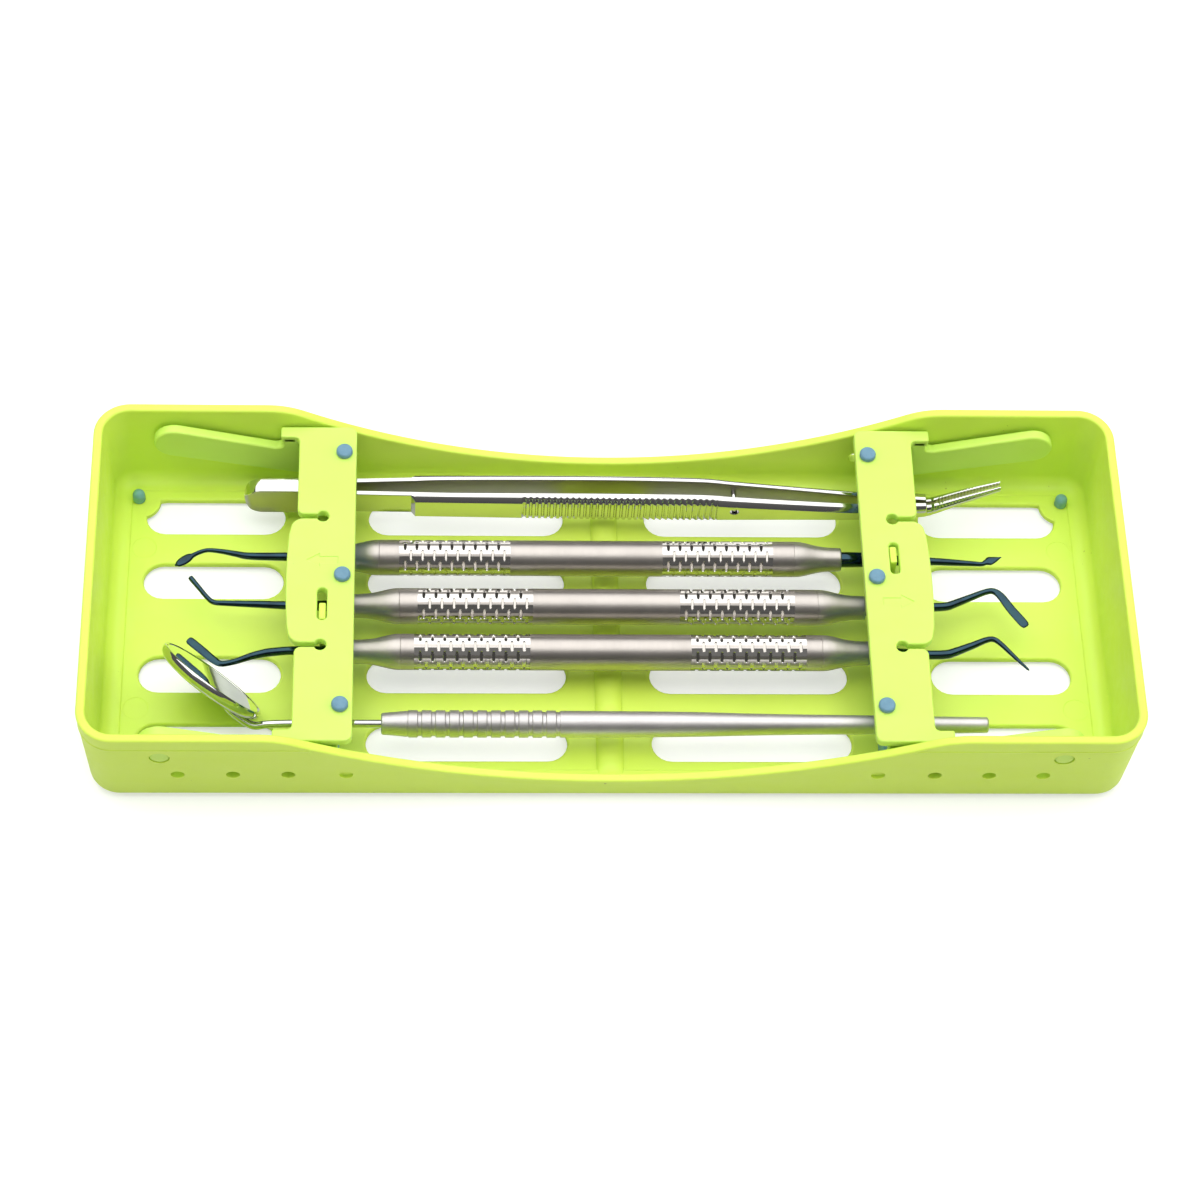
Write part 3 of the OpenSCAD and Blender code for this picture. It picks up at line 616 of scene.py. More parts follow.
def build_tray():
    sh = Shell()
    P, N, Hh = perimeter()
    m = len(P)
    profs = [np.asarray(wall_profile(h)) for h in Hh]
    k = len(profs[0])
    rows = []
    for j in range(k):
        d = np.array([q[j][0] for q in profs])
        z = np.array([q[j][1] for q in profs])
        rows.append(np.column_stack([P - N * d[:, None], z]))
    sh.add(np.concatenate(rows), grid_faces(k, m))
    top_loop, bot_loop = rows[0][:, :2], rows[-1][:, :2]
    # slots and small round holes
    slots = []
    for y in (-26.1, -10.8, 10.8, 26.1):
        for s in (-1, 1):
            for a, b in ((8.25, 47.6), (64.4, 92.3)):
                slots.append((min(s * a, s * b), max(s * a, s * b), y, 8.0))
    r = 0.55
    zt, zb = FLOOR - 0.24, 0.6
    holes_top, holes_bot = [], []
    for q in slots:
        prof = []
        for i in range(6):
            a = math.pi / 2 * i / 5
            prof.append((r * (1 - math.sin(a)), zt - r * (1 - math.cos(a))))
        prof.append((0.0, zb + 0.2))
        prof.append((0.2, zb))
        rr = []
        for g, z in prof:
            lp = stadium(*q, grow=g)
            rr.append(np.column_stack([lp, np.full(len(lp), z)]))
        sh.add(np.concatenate(rr), grid_faces(len(rr), len(rr[0])))
        holes_top.append(stadium(*q, grow=r))
        holes_bot.append(stadium(*q, grow=0.2))
    # sunk panel: a low step some way inside the walls, and two bands in the end bays
    step_o = rrect_loop(-95.5, -32.4, 95.5, 32.4, 3.4)
    step_i = rrect_loop(-95.25, -32.15, 95.25, 32.15, 3.15)
    step_o, step_i = densify(step_o, 12), densify(step_i, 12)
    z_panel = FLOOR - 0.24
    extra, zz = [step_o, step_i], [FLOOR, z_panel]
    for s in (-1, 1):
        a, b = sorted((s * 58.0, s * 94.8))
        extra.append(densify(rrect_loop(a, -3.3, b, 3.3, 0.6, 4), 12)); zz.append(z_panel)
        extra.append(densify(rrect_loop(a + 0.8, -2.5, b - 0.8, 2.5, 0.4, 4), 12)); zz.append(z_panel - 0.26)
    # ejector pin circles
    for s in (-1, 1):
        for y in (-18.6, 18.6):
            c = arc(s * 92.5, y, 2.5, 0, 345, 24)
            c2 = arc(s * 92.5, y, 2.38, 0, 345, 24)
            extra.append(c); zz.append(z_panel)
            extra.append(c2); zz.append(z_panel - 0.08)
    tris = fill(top_loop, holes_top, extra)
    pts = np.concatenate([top_loop, *holes_top, *extra])
    zc = np.concatenate([np.full(len(top_loop), FLOOR), *[np.full(len(h), zt) for h in holes_top],
                         *[np.full(len(e), z) for e, z in zip(extra, zz)]])
    sh.add(np.column_stack([pts, zc]), tris)
    tris = fill(bot_loop, holes_bot)
    pts = np.concatenate([bot_loop, *holes_bot])
    sh.add(np.column_stack([pts, np.full(len(pts), zb)]), tris)
    o = sh.done("tray_shell", [M_LIME], sharp=24, weighted=False, weld=1e-3)

    # holes through the long walls, cut in one go
    cut = Shell()
    for s in (-1, 1):
        for x in (62, 72.5, 83):
            v, f = revolve([(-45, 0), (-45, 1.35), (45, 1.35), (45, 0)], 32, "y", (s * x, 0, 10))
            cut.add(v, f)
        v, f = revolve([(-45, 0), (-45, 1.97), (45, 1.97), (45, 0)], 48, "y", (s * 86, 0, 17))
        cut.add(v, f)
        v, f = revolve([(30, 0), (30, 1.35), (45, 1.35), (45, 0)], 32, "y", (s * 51, 0, 10))
        cut.add(v, f)
        v, f = revolve([(-45, 0), (-45, 1.35), (-37.15, 1.35), (-37.15, 0)], 32, "y", (s * 51, 0, 10))
        cut.add(v, f)
    c = cut.done("tray_cutter", [M_LIME])
    b = o.modifiers.new("holes", "BOOLEAN")
    b.operation, b.solver, b.object = "DIFFERENCE", "EXACT", c
    dg = bpy.context.evaluated_depsgraph_get()
    me = bpy.data.meshes.new_from_object(o.evaluated_get(dg))
    o.modifiers.clear()
    o.data = me
    bpy.data.objects.remove(c)
    o.data.polygons.foreach_set("use_smooth", [True] * len(o.data.polygons))
    o.data.set_sharp_from_angle(angle=math.radians(24))
    w = o.modifiers.new("weighted", "WEIGHTED_NORMAL")
    w.mode, w.weight, w.keep_sharp = "FACE_AREA", 100, True
    return o


def build_tray_details():
    """Centre rib, latch posts and bosses round the foot plugs: parts of the same moulding."""
    sh = Shell()
    # half-round centre rib along Y, ends dying into the floor
    n = 60
    ys = np.linspace(-34.0, 34.0, n)
    rings = []
    for y in ys:
        k = math.sqrt(max(1 - (abs(y) / 34.0) ** 14, 0.0))
        hgt = 1.15 * k + 0.02
        a = np.linspace(-0.25, math.pi + 0.25, 15)
        x = 2.75 * np.cos(a)
        z = FLOOR - 0.45 + (0.3 + hgt) * np.sin(a)
        rings.append(np.column_stack([x, np.full(15, y), z]))
    rings = np.asarray(rings)
    v, f = loft(rings)
    sh.add(v, f)
    # latch posts: a tall catch on a broader foot
    for s in (-1, 1):
        def tr(p, s=s):
            q = np.array(p, float)
            q[:, 0] *= s
            q[:, 1] *= s
            return q
        plate(sh, rrect_loop(55.25, 4.9, 56.6, 8.6, 0.25, 3), [], 1.9, 19.3, 0.2, 3, place=tr)
        plate(sh, rrect_loop(55.17, 3.5, 56.68, 8.9, 0.25, 3), [], 1.9, 12.3, 0.2, 3, place=tr)
    # bosses round the foot plugs, just under the floor's face
    for sx in (-1, 1):
        for sy in (-1, 1):
            v, f = revolve([(0.9, 1.1), (0.9, 4.4), (1.76, 4.4), (1.89, 4.36), (1.93, 4.24), (1.93, 1.1), (0.9, 1.1)], 56, "z", (sx * 94, sy * 30.2, 0))
            sh.add(v, f)
    o = sh.done("tray_rib_and_posts", [M_LIME], sharp=30, weighted=True)
    return o


# --------------------------------------------------------------------------
# gates
# --------------------------------------------------------------------------
GZ, GT = 20.0, 2.0
STUD_X = 52.2
STUD_Y = {1: (-28.2, 0.9, 29.7), -1: (-29.7, -0.9, 28.2)}


def gate_outline():
    """Right gate's plan, counter-clockwise, with slits and keyholes cut from the outer edge."""
    pts = []

    def line(*q):
        pts.extend([np.array([float(a), float(b)]) for a, b in q])

    def bow(y):
        return 63.1 - 150 + math.sqrt(150 ** 2 - y * y)

    # start at the inner edge, front, going outward along the front leg (y negative)
    pts.extend(arc(51.3, -34.4, 1.5, 180, 270, 7))
    pts.extend(arc(64.5, -35.5, 0.4, 270, 360, 4))
    pts.extend(arc(64.5, -33.8, 0.4, 0, 90, 4))
    pts.extend(arc(62.2, -32.4, 1.0, 270, 180, 5))     # inner corner to the plate's edge
    pts.extend(arc(59.9, -16.5, 1.3, 0, 90, 6))
    # lower keyhole
    line((57.45, -15.2))
    pts.extend(arc(56.2, -14.7, 1.2, -24, -336, 20))
    line((57.45, -14.2))
    x0 = bow(14.2)
    pts.extend(arc(x0 - 2.4, -11.8, 2.4, -90, -4, 9))
    for y in np.linspace(-10.5, 10.5, 15):
        line((bow(y), y))
    pts.extend(arc(x0 - 2.4, 11.8, 2.4, 4, 90, 9))
    line((57.45, 14.2))
    pts.extend(arc(56.2, 14.7, 1.2, 336, 24, 20))
    line((57.45, 15.2))
    pts.extend(arc(59.9, 16.5, 1.3, -90, 0, 6))
    pts.extend(arc(62.2, 32.4, 1.0, 180, 90, 5))
    pts.extend(arc(64.5, 33.8, 0.4, -90, 0, 4))
    pts.extend(arc(64.5, 35.5, 0.4, 0, 90, 4))
    pts.extend(arc(51.3, 34.4, 1.5, 90, 180, 7))
    return clean_loop(np.asarray(pts))


def build_gate(name, s):
    def tr(p):
        q = np.array(p, float)
        q[:, 0] *= s
        q[:, 1] *= s
        return q

    sh = Shell()
    outer = gate_outline()
    holes = [rrect_loop(55.05, 1.9, 56.95, 9.1, 0.85, 5)[::-1]]
    for y in STUD_Y[s]:
        holes.append(arc(STUD_X, y, 1.0, 0, -345, 24))
    arrow = np.array([[53.0, -5.35], [56.6, -5.35], [56.6, -6.1], [59.3, -4.5], [56.6, -2.9], [56.6, -3.65], [53.0, -3.65]])
    plate(sh, densify(outer, 6), holes, GZ - GT, GZ, 0.32, 4, place=tr, dent=[(arrow, 0.16)])
    # legs and swing arms
    leg = []
    leg.extend(arc(53.4, 17.6, 0.8, 90, 180, 4))
    leg.extend(arc(54.0, 8.6, 1.4, 180, 270, 6))
    leg.extend([(61.6, 7.2), (62.4, 7.25)])
    leg.extend(arc(86, 17, 4.2, -76, 104, 26))
    leg.extend([(66.2, 15.9)])
    leg.extend(arc(65.6, 17.0, 1.0, 250, 180, 5))
    leg.extend([(64.6, 19.0), (64.6, 19.4), (53.4, 19.4)])
    leg = clean_loop(np.asarray([np.asarray(q, float) for q in leg]))
    if area(leg) < 0:
        leg = leg[::-1]
    for side in (-1, 1):
        def tr2(p, side=side):
            q = swap_xz(np.asarray(p, float))
            q[:, 1] *= side
            return tr(q)
        plate(sh, leg, [], 33.4, 35.5, 0.45, 4, place=tr2)
        v, f = revolve([(34.0, 0), (34.0, 1.9), (37.6, 1.9), (37.85, 1.82), (38.0, 1.6), (38.0, 0)], 48, "y", (86, 0, 17))
        v = np.asarray(v)
        v[:, 1] *= side
        sh.add(tr(v), f)
    # low stiffening rib along the inner edge
    plate(sh, rrect_loop(49.95, -12.5, 50.9, 12.5, 0.4, 4), [], GZ - GT - 0.9, GZ - 0.5, 0.2, 3, place=tr)
    return sh.done(name, [M_LIME_GATE_LIT_COPY], sharp=30, weighted=True)


def build_strip(name, s):
    def tr(p):
        q = np.array(p, float)
        q[:, 0] *= s
        q[:, 1] *= s
        return q

    sh = Shell()
    plate(sh, rrect_loop(51.2, -32, 54.2, 32, 0.6, 4), [], 14.2, GZ - GT, 0.25, 3, place=tr)
    for y in np.arange(-30.75, 31.5, 3.0):
        a, b = max(y - 0.75, -31.9), min(y + 0.75, 31.9)
        low = 13.0 if s < 0 and a < -23.5 else 12.4      # room for the tweezers' broad end
        plate(sh, rrect_loop(51.25, a, 54.15, b, 0.3, 3), [], low, 14.6, 0.25, 3, place=tr)
    for y in STUD_Y[s]:
        r = 1.6
        prof = [(GZ - GT - 0.3, 0), (GZ - GT - 0.3, 0.97), (GZ + 0.02, 0.97), (GZ + 0.02, r - 0.12), (GZ + 0.14, r)]
        for a in np.linspace(0, 90, 9):
            t = math.radians(a)
            prof.append((GZ + 0.62 + 0.5 * math.sin(t), (r - 0.5) + 0.5 * math.cos(t)))
        prof.append((GZ + 1.16, 0.5))
        prof.append((GZ + 1.17, 0.0))
        v, f = revolve(prof, 40, "z", (STUD_X, y, 0))
        sh.add(tr(v), f)
    return sh.done(name, [M_SILICONE_LIT_LOOK], sharp=40, weighted=True)


def build_foot(name, x, y):
    prof = [(0, 0), (0, 3.6), (0.25, 3.9), (0.8, 3.9), (0.88, 3.8), (0.88, 1.04), (2.04, 1.04), (2.04, 1.14), (2.14, 1.25), (3.55, 1.25)]
    for a in np.linspace(10, 90, 10):
        t = math.radians(a)
        prof.append((3.55 + 1.3 * math.sin(t), 1.25 * math.cos(t) if a < 90 else 0.0))
    v, f = revolve(prof, 40, "z", (x, y, 0))
    # the feet take the teal copy of the silicone: painted shade
    return add_obj(name, v, f, [M_SILICONE_SHADED_LOOK], sharp=40, weighted=True)


# --------------------------------------------------------------------------
# double-ended instruments
# --------------------------------------------------------------------------
R = 3.55
TUBE = 41.2
CONE = 9.6
AX_Z = 9.5
PITCH = 2.3
FLATS = 10


def build_handle(name, x, y, turn, g0, g1, pitch):
    """Hollow handle: satin tube with two bright-cut grips. Ten long flats leave narrow lands of the
    round surface, and short cross cuts go through the lands, every other land half a pitch on."""
    glen = 9 * pitch + 1.2
    d_flat = R * math.cos(math.radians(12.6))
    depth, halfw = 0.46, 0.31
    h0 = R - depth
    per = 22
    th = np.radians(np.arange(FLATS * per) * 360.0 / (FLATS * per))
    phi_deg = (np.degrees(th) - turn) % 36.0
    phi = np.radians(np.where(phi_deg > 18, phi_deg - 36, phi_deg))
    land = np.floor(((np.degrees(th) - turn + 18) % 360) / 36.0).astype(int)
    # stations along the tube
    xs, zone = [], []

    def plain(a, b, n):
        for t in np.linspace(a, b, n):
            xs.append(t); zone.append(0)

    def grip(a):
        e = 1e-3
        xs.append(a + e); zone.append(1)
        off = [-0.31, -0.21, -0.11, 0.0, 0.11, 0.21, 0.31, 0.45, 0.575]
        st = set()
        for k in range(2 * 9):
            c = a + 0.6 + (0.25 + 0.5 * k) * pitch
            for q in off:
                st.add(round(c + q, 4))
                st.add(round(c - q, 4))
        for t in sorted(st):
            if a + 0.06 < t < a + glen - 0.06 and (not xs or t - xs[-1] > 0.02):
                xs.append(t); zone.append(1)
        xs.append(a + glen - e); zone.append(1)

    xs.append(-TUBE); zone.append(-1)
    plain(-TUBE + 0.05, g0, 6)
    grip(g0)
    plain(g0 + glen, g1, 14)
    grip(g1)
    plain(g1 + glen, TUBE - 0.05, 6)
    xs.append(TUBE); zone.append(-1)
    xs = np.asarray(xs)
    rad = np.full((len(xs), len(th)), R)
    cut_x = [a + 0.6 + (0.25 + 0.5 * k) * pitch for a in (g0, g1) for k in range(18)]
    cut_o = [k % 2 for _ in (0, 1) for k in range(18)]
    flat = d_flat / np.cos(math.radians(18) - np.abs(phi))
    for i, (t, z) in enumerate(zip(xs, zone)):
        if z == -1:
            rad[i] = R - 0.05
        if z != 1:
            continue
        r = np.minimum(R, flat)
        for c, o in zip(cut_x, cut_o):
            dx = abs(t - c)
            if dx < halfw + 0.02:
                hit = (land % 2) == o
                v = (h0 + depth * (dx / halfw) ** 1.6) / np.cos(phi)
                r = np.where(hit, np.minimum(r, v), r)
        rad[i] = r
    verts = np.stack([np.repeat(xs[:, None], len(th), 1), rad * np.cos(th)[None], rad * np.sin(th)[None]], 2)
    n, m = rad.shape
    faces = grid_faces(n, m)
    mats = []
    for i in range(n - 1):
        g = zone[i] == 1 and zone[i + 1] == 1
        for k in range(m):
            j = (k + 1) % m
            low = min(rad[i, k], rad[i, j], rad[i + 1, k], rad[i + 1, j])
            mats.append(1 if g and low < R - 0.006 else 0)
    v = verts.reshape(-1, 3)
    # bore: inner wall and end rings
    bore = []
    for t in (TUBE, TUBE - 0.1, -TUBE + 0.1, -TUBE):
        rr = 2.62 if abs(t) < TUBE else 2.7
        bore.append(np.column_stack([np.full(m, t), rr * np.cos(th), rr * np.sin(th)]))
    k0 = len(v)
    v = np.concatenate([v, *bore])
    faces += grid_faces(4, m, True, k0)
    mats += [0] * (3 * m)
    for k in range(m):
        j = (k + 1) % m
        faces.append(((n - 1) * m + k, (n - 1) * m + j, k0 + j, k0 + k))
        faces.append((k0 + 3 * m + k, k0 + 3 * m + j, j, k))
        mats += [0, 0]
    v = v + np.array([x, y, AX_Z])
    return add_obj(name, v, faces, [M_SATIN, M_BRIGHT], mats, sharp=22)


def build_cone(name, x, y, side):
    s0 = TUBE
    prof = [(s0 - 6, 0), (s0 - 6, 2.4), (s0 - 5.8, 2.57), (s0 - 0.02, 2.57), (s0 - 0.005, R - 0.2), (s0 + 0.01, R - 0.05), (s0 + 0.08, R - 0.01)]
    # smooth concave flare from the tube down to the neck
    ctrl = [(0.25, R), (1.2, 3.49), (2.3, 3.3), (3.5, 3.01), (4.9, 2.7), (6.2, 2.5), (7.6, 2.39), (9.3, 2.35)]
    prof += [(s0 + a, r) for a, r in catmull(ctrl, 6)]
    prof += [(s0 + CONE - 0.16, 2.33), (s0 + CONE - 0.05, 2.26), (s0 + CONE, 2.14), (s0 + CONE, 1.6), (s0 + CONE - 0.1, 1.53), (s0 + CONE - 8, 1.53), (s0 + CONE - 8, 0)]
    v, f = revolve(prof, 72, "x")
    v = np.asarray(v)
    v[:, 0] *= side
    v = v + np.array([x, y, AX_Z])
    return add_obj(name, v, f, [M_CONE], sharp=35)


def sweep(points, n=8, sides=28, power=2.0, up=(0, 0, 1)):
    """Swept solid through rows of (x, y, z, half width, half height) with a rounded-box section."""
    p = catmull(points, n)
    pos = p[:, :3]
    keep = [0]
    for i in range(1, len(pos)):
        if np.linalg.norm(pos[i] - pos[keep[-1]]) > 0.02:
            keep.append(i)
    p, pos = p[keep], pos[keep]
    t = np.gradient(pos, axis=0)
    t /= np.linalg.norm(t, axis=1)[:, None]
    s = np.cross(t, np.asarray(up, float))
    s /= np.linalg.norm(s, axis=1)[:, None]
    u = np.cross(s, t)
    a = np.linspace(0, 2 * math.pi, sides, endpoint=False)
    e = 2.0 / power
    ca = np.sign(np.cos(a)) * np.abs(np.cos(a)) ** e
    sa = np.sign(np.sin(a)) * np.abs(np.sin(a)) ** e
    rings = pos[:, None] + s[:, None] * (p[:, 3:4] * ca[None])[..., None] + u[:, None] * (p[:, 4:5] * sa[None])[..., None]
    return loft(rings)


def rounded_end(points, last=0.35):
    """Adds short closing rows so that a swept end is domed."""
    q = [list(map(float, r)) for r in points]
    a, b = np.asarray(q[-2][:3]), np.asarray(q[-1][:3])
    d = (b - a) / np.linalg.norm(b - a)
    w, h = q[-1][3], q[-1][4]
    for f, g in ((0.45, 0.89), (0.8, 0.6), (0.97, 0.24)):
        c = b + d * last * f
        q.append([*c, w * g, h * g])
    return q


def tip_object(name, pts, last=0.3, power=2.2, extra=None):
    sh = Shell()
    v, f = sweep(rounded_end(pts, last), 7, 28, power)
    sh.add(v, f)
    if extra is not None:
        for v, f in extra:
            sh.add(v, f)
    return sh.done(name, [M_BLUE], sharp=45, weld=1e-6)


# --------------------------------------------------------------------------
# build everything
# --------------------------------------------------------------------------
made = []


def use(o, body, nodes):
    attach(o, body)
    if nodes:
        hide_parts(*nodes)
    made.append(o)
    return o


use(build_tray(), "root", ["tray"])
use(build_tray_details(), "root", [])
for side, s in (("left", -1), ("right", 1)):
    use(build_gate("gate_%s_moulding" % side, s), "gate_" + side, ["gate_" + side])
    use(build_strip("hold_down_strip_%s_comb" % side, s), "gate_" + side, ["hold_down_strip_" + side])
for fb, sy in (("front", -1), ("back", 1)):
    for side, sx in (("left", -1), ("right", 1)):
        use(build_foot("foot_%s_%s_plug" % (fb, side), sx * 94, sy * 30.2), "root", ["foot_%s_%s" % (fb, side)])

Z = AX_Z
TIPS = {
    "carver_tip_left": [(-46.9, 11.7, Z, 1.5, 1.5), (-56.8, 11.7, Z, 1.5, 1.5), (-59.3, 11.7, Z, 1.05, 1.05), (-63.5, 11.8, Z, 0.85, 0.85),
                        (-70.8, 11.9, Z, 0.72, 0.72), (-73.6, 12.4, Z, 0.6, 0.6), (-76.6, 13, Z, 0.48, 0.48), (-79.2, 13.3, Z - 0.1, 0.42, 0.42),
                        (-80.9, 12.9, Z - 0.3, 0.43, 0.42), (-82.1, 12.35, Z - 0.5, 0.5, 0.4), (-82.9, 11.95, Z - 0.68, 0.86, 0.38),
                        (-84.0, 11.3, Z - 0.9, 0.96, 0.34), (-85.0, 10.75, Z - 1.15, 0.7, 0.3), (-85.4, 10.55, Z - 1.25, 0.3, 0.2)],
    "carver_tip_right": [(38.9, 11.7, Z, 1.5, 1.5), (49.0, 11.7, Z, 1.5, 1.5), (52.3, 11.7, Z, 1.35, 1.35), (55.3, 11.6, Z, 1.1, 1.1), (64.3, 11.4, Z, 0.78, 0.78),
                         (68.4, 11.2, Z, 0.68, 0.68), (73.2, 10.9, Z, 0.52, 0.52), (75.1, 10.8, Z, 0.45, 0.45), (76, 11.2, Z, 0.6, 0.4),
                         (76.7, 11.5, Z, 0.95, 0.34), (77.6, 11.8, Z, 0.75, 0.3), (79.0, 12.35, Z, 0.16, 0.15)],
    "filler_tip_left": [(-42.8, 0.4, Z, 1.5, 1.5), (-53.2, 0.4, Z, 1.5, 1.5), (-55.7, 0.4, Z, 1.05, 1.05), (-63.7, 0.5, Z, 0.8, 0.8),
                        (-69, 0.7, Z, 0.7, 0.7), (-74.9, 0.9, Z, 0.56, 0.56), (-77.5, 1.1, Z, 0.5, 0.5), (-78.8, 2.1, Z, 0.48, 0.48),
                        (-80.4, 4.2, Z, 0.48, 0.48), (-81.9, 6.2, Z, 0.52, 0.52), (-82.3, 6.75, Z, 0.5, 0.5)],
    "filler_tip_right": [(43.0, 0.4, Z, 1.5, 1.5), (53.4, 0.4, Z, 1.5, 1.5), (55.9, 0.4, Z, 1.1, 1.1), (64.2, 0.6, Z, 0.86, 0.86),
                         (67.2, 0.8, Z, 0.84, 0.84), (68.9, 1.4, Z, 0.8, 0.8), (72.5, 3, Z, 0.68, 0.68), (75.3, 4.2, Z, 0.6, 0.6),
                         (77, 4.4, Z, 0.66, 0.5), (78.4, 3.2, Z, 0.84, 0.36), (80.1, 0.3, Z, 0.94, 0.28), (82.2, -2.8, Z, 0.98, 0.26),
                         (82.75, -3.6, Z, 0.75, 0.24)],
    "shaper_tip_left": [(-42.5, -10.1, Z, 1.5, 1.5), (-52.9, -10.1, Z, 1.5, 1.5), (-55.4, -10.1, Z, 1.1, 1.1), (-61.9, -9.9, Z, 0.84, 0.84),
                        (-65.5, -10.2, Z, 0.82, 0.82), (-67.4, -10.5, Z, 0.8, 0.8), (-69.9, -11.2, Z, 0.7, 0.7), (-73, -12.4, Z, 0.58, 0.58),
                        (-75.6, -12.9, Z, 0.62, 0.5), (-77.2, -12, Z, 0.78, 0.38), (-79.6, -9.8, Z, 0.86, 0.3), (-81.7, -7.9, Z, 0.86, 0.28),
                        (-82.1, -7.55, Z, 0.7, 0.26)],
    "shaper_tip_right": [(43.3, -10.1, Z, 1.5, 1.5), (53.7, -10.1, Z, 1.5, 1.5), (56.2, -10.1, Z, 1.1, 1.1), (62.7, -10.4, Z, 0.9, 0.9),
                         (66.3, -10.3, Z, 0.88, 0.88), (68, -9.8, Z, 0.84, 0.84), (71.6, -8.3, Z, 0.72, 0.72), (74.5, -7, Z, 0.6, 0.6),
                         (76.1, -6.8, Z, 0.55, 0.5), (77.5, -7.9, Z, 0.5, 0.45), (79.9, -10.8, Z, 0.4, 0.36), (82.1, -13.4, Z, 0.24, 0.22),
                         (82.35, -13.7, Z, 0.16, 0.16)],
}
for who, hx, hy, turn, g0, g1, pitch in (("carver", -4.0, 11.7, 77.0, -37.25, 14.95, 2.31), ("filler", 0.1, 0.4, 75.5, -37.65, 13.95, 2.38),
                                         ("shaper", 0.4, -10.1, 64.0, -38.6, 15.5, 2.38)):
    use(build_handle(who + "_handle_tube", hx, hy, turn, g0, g1, pitch), "root", [who + "_handle"])
    for side, s in (("left", -1), ("right", 1)):
        use(build_cone("%s_cone_%s_turned" % (who, side), hx, hy, s), "root", ["%s_cone_%s" % (who, side)])
        n = "%s_tip_%s" % (who, side)
        use(tip_object(n + "_blade", TIPS[n]), "root", [n])

# --------------------------------------------------------------------------
# mirror
# --------------------------------------------------------------------------
MX0, MX1, MY, MZ = -44.5, 73.4, -26.1, 9.2
ln = MX1 - MX0
prof = [(0, 0), (0, 0.86), (0.0, 1.75), (0.06, 1.9), (0.2, 2.08)]
prof += [(a, r) for a, r in catmull([(0.4, 2.13), (2.0, 2.25), (3.6, 2.4), (4.9, 2.52)], 4)]
for i in range(11):
    c = 5.2 + i * 2.67
    prof += [(c - 0.03, 2.44), (c, 2.58), (c + 0.05, 2.635), (c + 0.14, 2.65), (c + 0.95, 2.652), (c + 1.73, 2.65), (c + 1.80, 2.635), (c + 1.85, 2.58),
             (c + 1.88, 2.44), (c + 1.96, 2.395), (c + 2.2, 2.385), (c + 2.5, 2.385), (c + 2.6, 2.40)]
prof += [(a, r) for a, r in catmull([(34.55, 2.60), (37.0, 2.60), (46, 2.55), (57, 2.47), (64, 2.34), (72, 2.14), (82, 1.98), (92, 1.88), (104, 1.72), (ln - 0.5, 1.56)], 6)]
prof += [(ln - 0.25, 1.52), (ln - 0.08, 1.42), (ln, 1.28), (ln, 0)]
v, f = revolve(prof, 72, "x", (MX0, MY, MZ))
use(add_obj("mirror_handle_rod", v, f, [M_FROST], sharp=38), "root", ["mirror_handle"])
v, f = sweep([(-37.5, MY, MZ, 0.8, 0.8), (-52, MY, MZ, 0.8, 0.8), (-61, MY, MZ, 0.8, 0.8), (-66.2, MY - 0.1, MZ - 0.1, 0.8, 0.8),
              (-69.2, -26.1, 8.5, 0.8, 0.8), (-72.4, -24.2, 9, 0.75, 0.75), (-74.3, -22.8, 9.6, 0.6, 0.6)], 8, 28)
use(add_obj("mirror_stem_wire", v, f, [M_CHROME], sharp=40), "root", ["mirror_stem"])

CUP = Matrix.Translation(Vector((-77.1, -18.5, 12.8))) @ Matrix.Rotation(math.radians(47), 4, "Z") @ Matrix.Rotation(math.radians(61), 4, "Y")


def placed(v):
    m = np.array(CUP)
    return np.asarray(v) @ m[:3, :3].T + m[:3, 3]


prof = [(-2.6, 0)] + [(a, r) for r, a in catmull([(0.01, -2.6), (3, -2.55), (6, -2.36), (8.6, -2.02), (10.2, -1.6), (11.0, -1.15), (11.42, -0.55), (11.5, 0.0), (11.46, 0.36), (11.3, 0.58), (11.12, 0.62), (10.95, 0.56), (10.84, 0.42)], 4)]
prof += [(-0.5, 10.82), (-0.5, 0)]
v, f = revolve(prof, 128, "z")
use(add_obj("mirror_cup_bezel", placed(v), f, [M_CHROME], sharp=40), "root", ["mirror_cup"])
prof = [(-0.48, 0), (-0.48, 10.76), (0.32, 10.76), (0.44, 10.6), (0.46, 10.45), (0.46, 0)]
v, f = revolve(prof, 128, "z")
use(add_obj("mirror_glass_disc", placed(v), f, [M_GLASS], sharp=20, weighted=True), "root", ["mirror_glass"])

# --------------------------------------------------------------------------
# tweezers
# --------------------------------------------------------------------------
TWZ = 9.2
TW_SIDE = [(-72.4, 3.8, 0), (-62, 3.8, 0), (-58, 3.48, 0), (-54, 3.2, 0), (-50, 3.13, 0), (-46, 3.1, 0), (-42, 3.07, 0), (-39, 3.05, 0)]
TW_SIDE2 = [(-38.2, 3.05, 0), (-34, 3.05, 0), (-29, 3.05, 0), (-22, 3.08, 0.03), (-17, 3.1, 0.05), (-8, 3.13, 0.08), (0, 3.15, 0.1), (12, 3.13, 0.1), (19, 3.1, 0.1),
            (22.5, 2.94, 0.1), (26, 2.75, 0.1), (36, 2.3, 0.1), (50, 1.75, 0.1), (64, 1.25, 0.1), (66.5, 1.2, 0.6), (69, 1.1, 1.75), (72, 0.95, 3.2), (79.2, 0.6, 6.6)]
BACK = [(-72.4, 27.6, 28.15), (-62, 27.55, 28.35), (-58.8, 27.5, 28.46), (-50, 27.75, 28.7), (-39, 28.2, 29.1)]
BACK2 = [(-38.2, 28.2, 29.8), (-29, 28.5, 29.9), (0, 28.5, 29.8), (19, 28.2, 29.5), (26, 27.8, 29.0), (38, 27, 28.2), (50, 26.1, 27.4), (63, 25.05, 26.45), (66, 25.1, 26.3),
         (72, 25.5, 26.5), (79.2, 25.7, 26.4)]
FRONT = [(-59.8, 25.88, 24.9), (-50, 25.8, 24.85), (-39, 25.65, 24.7)]
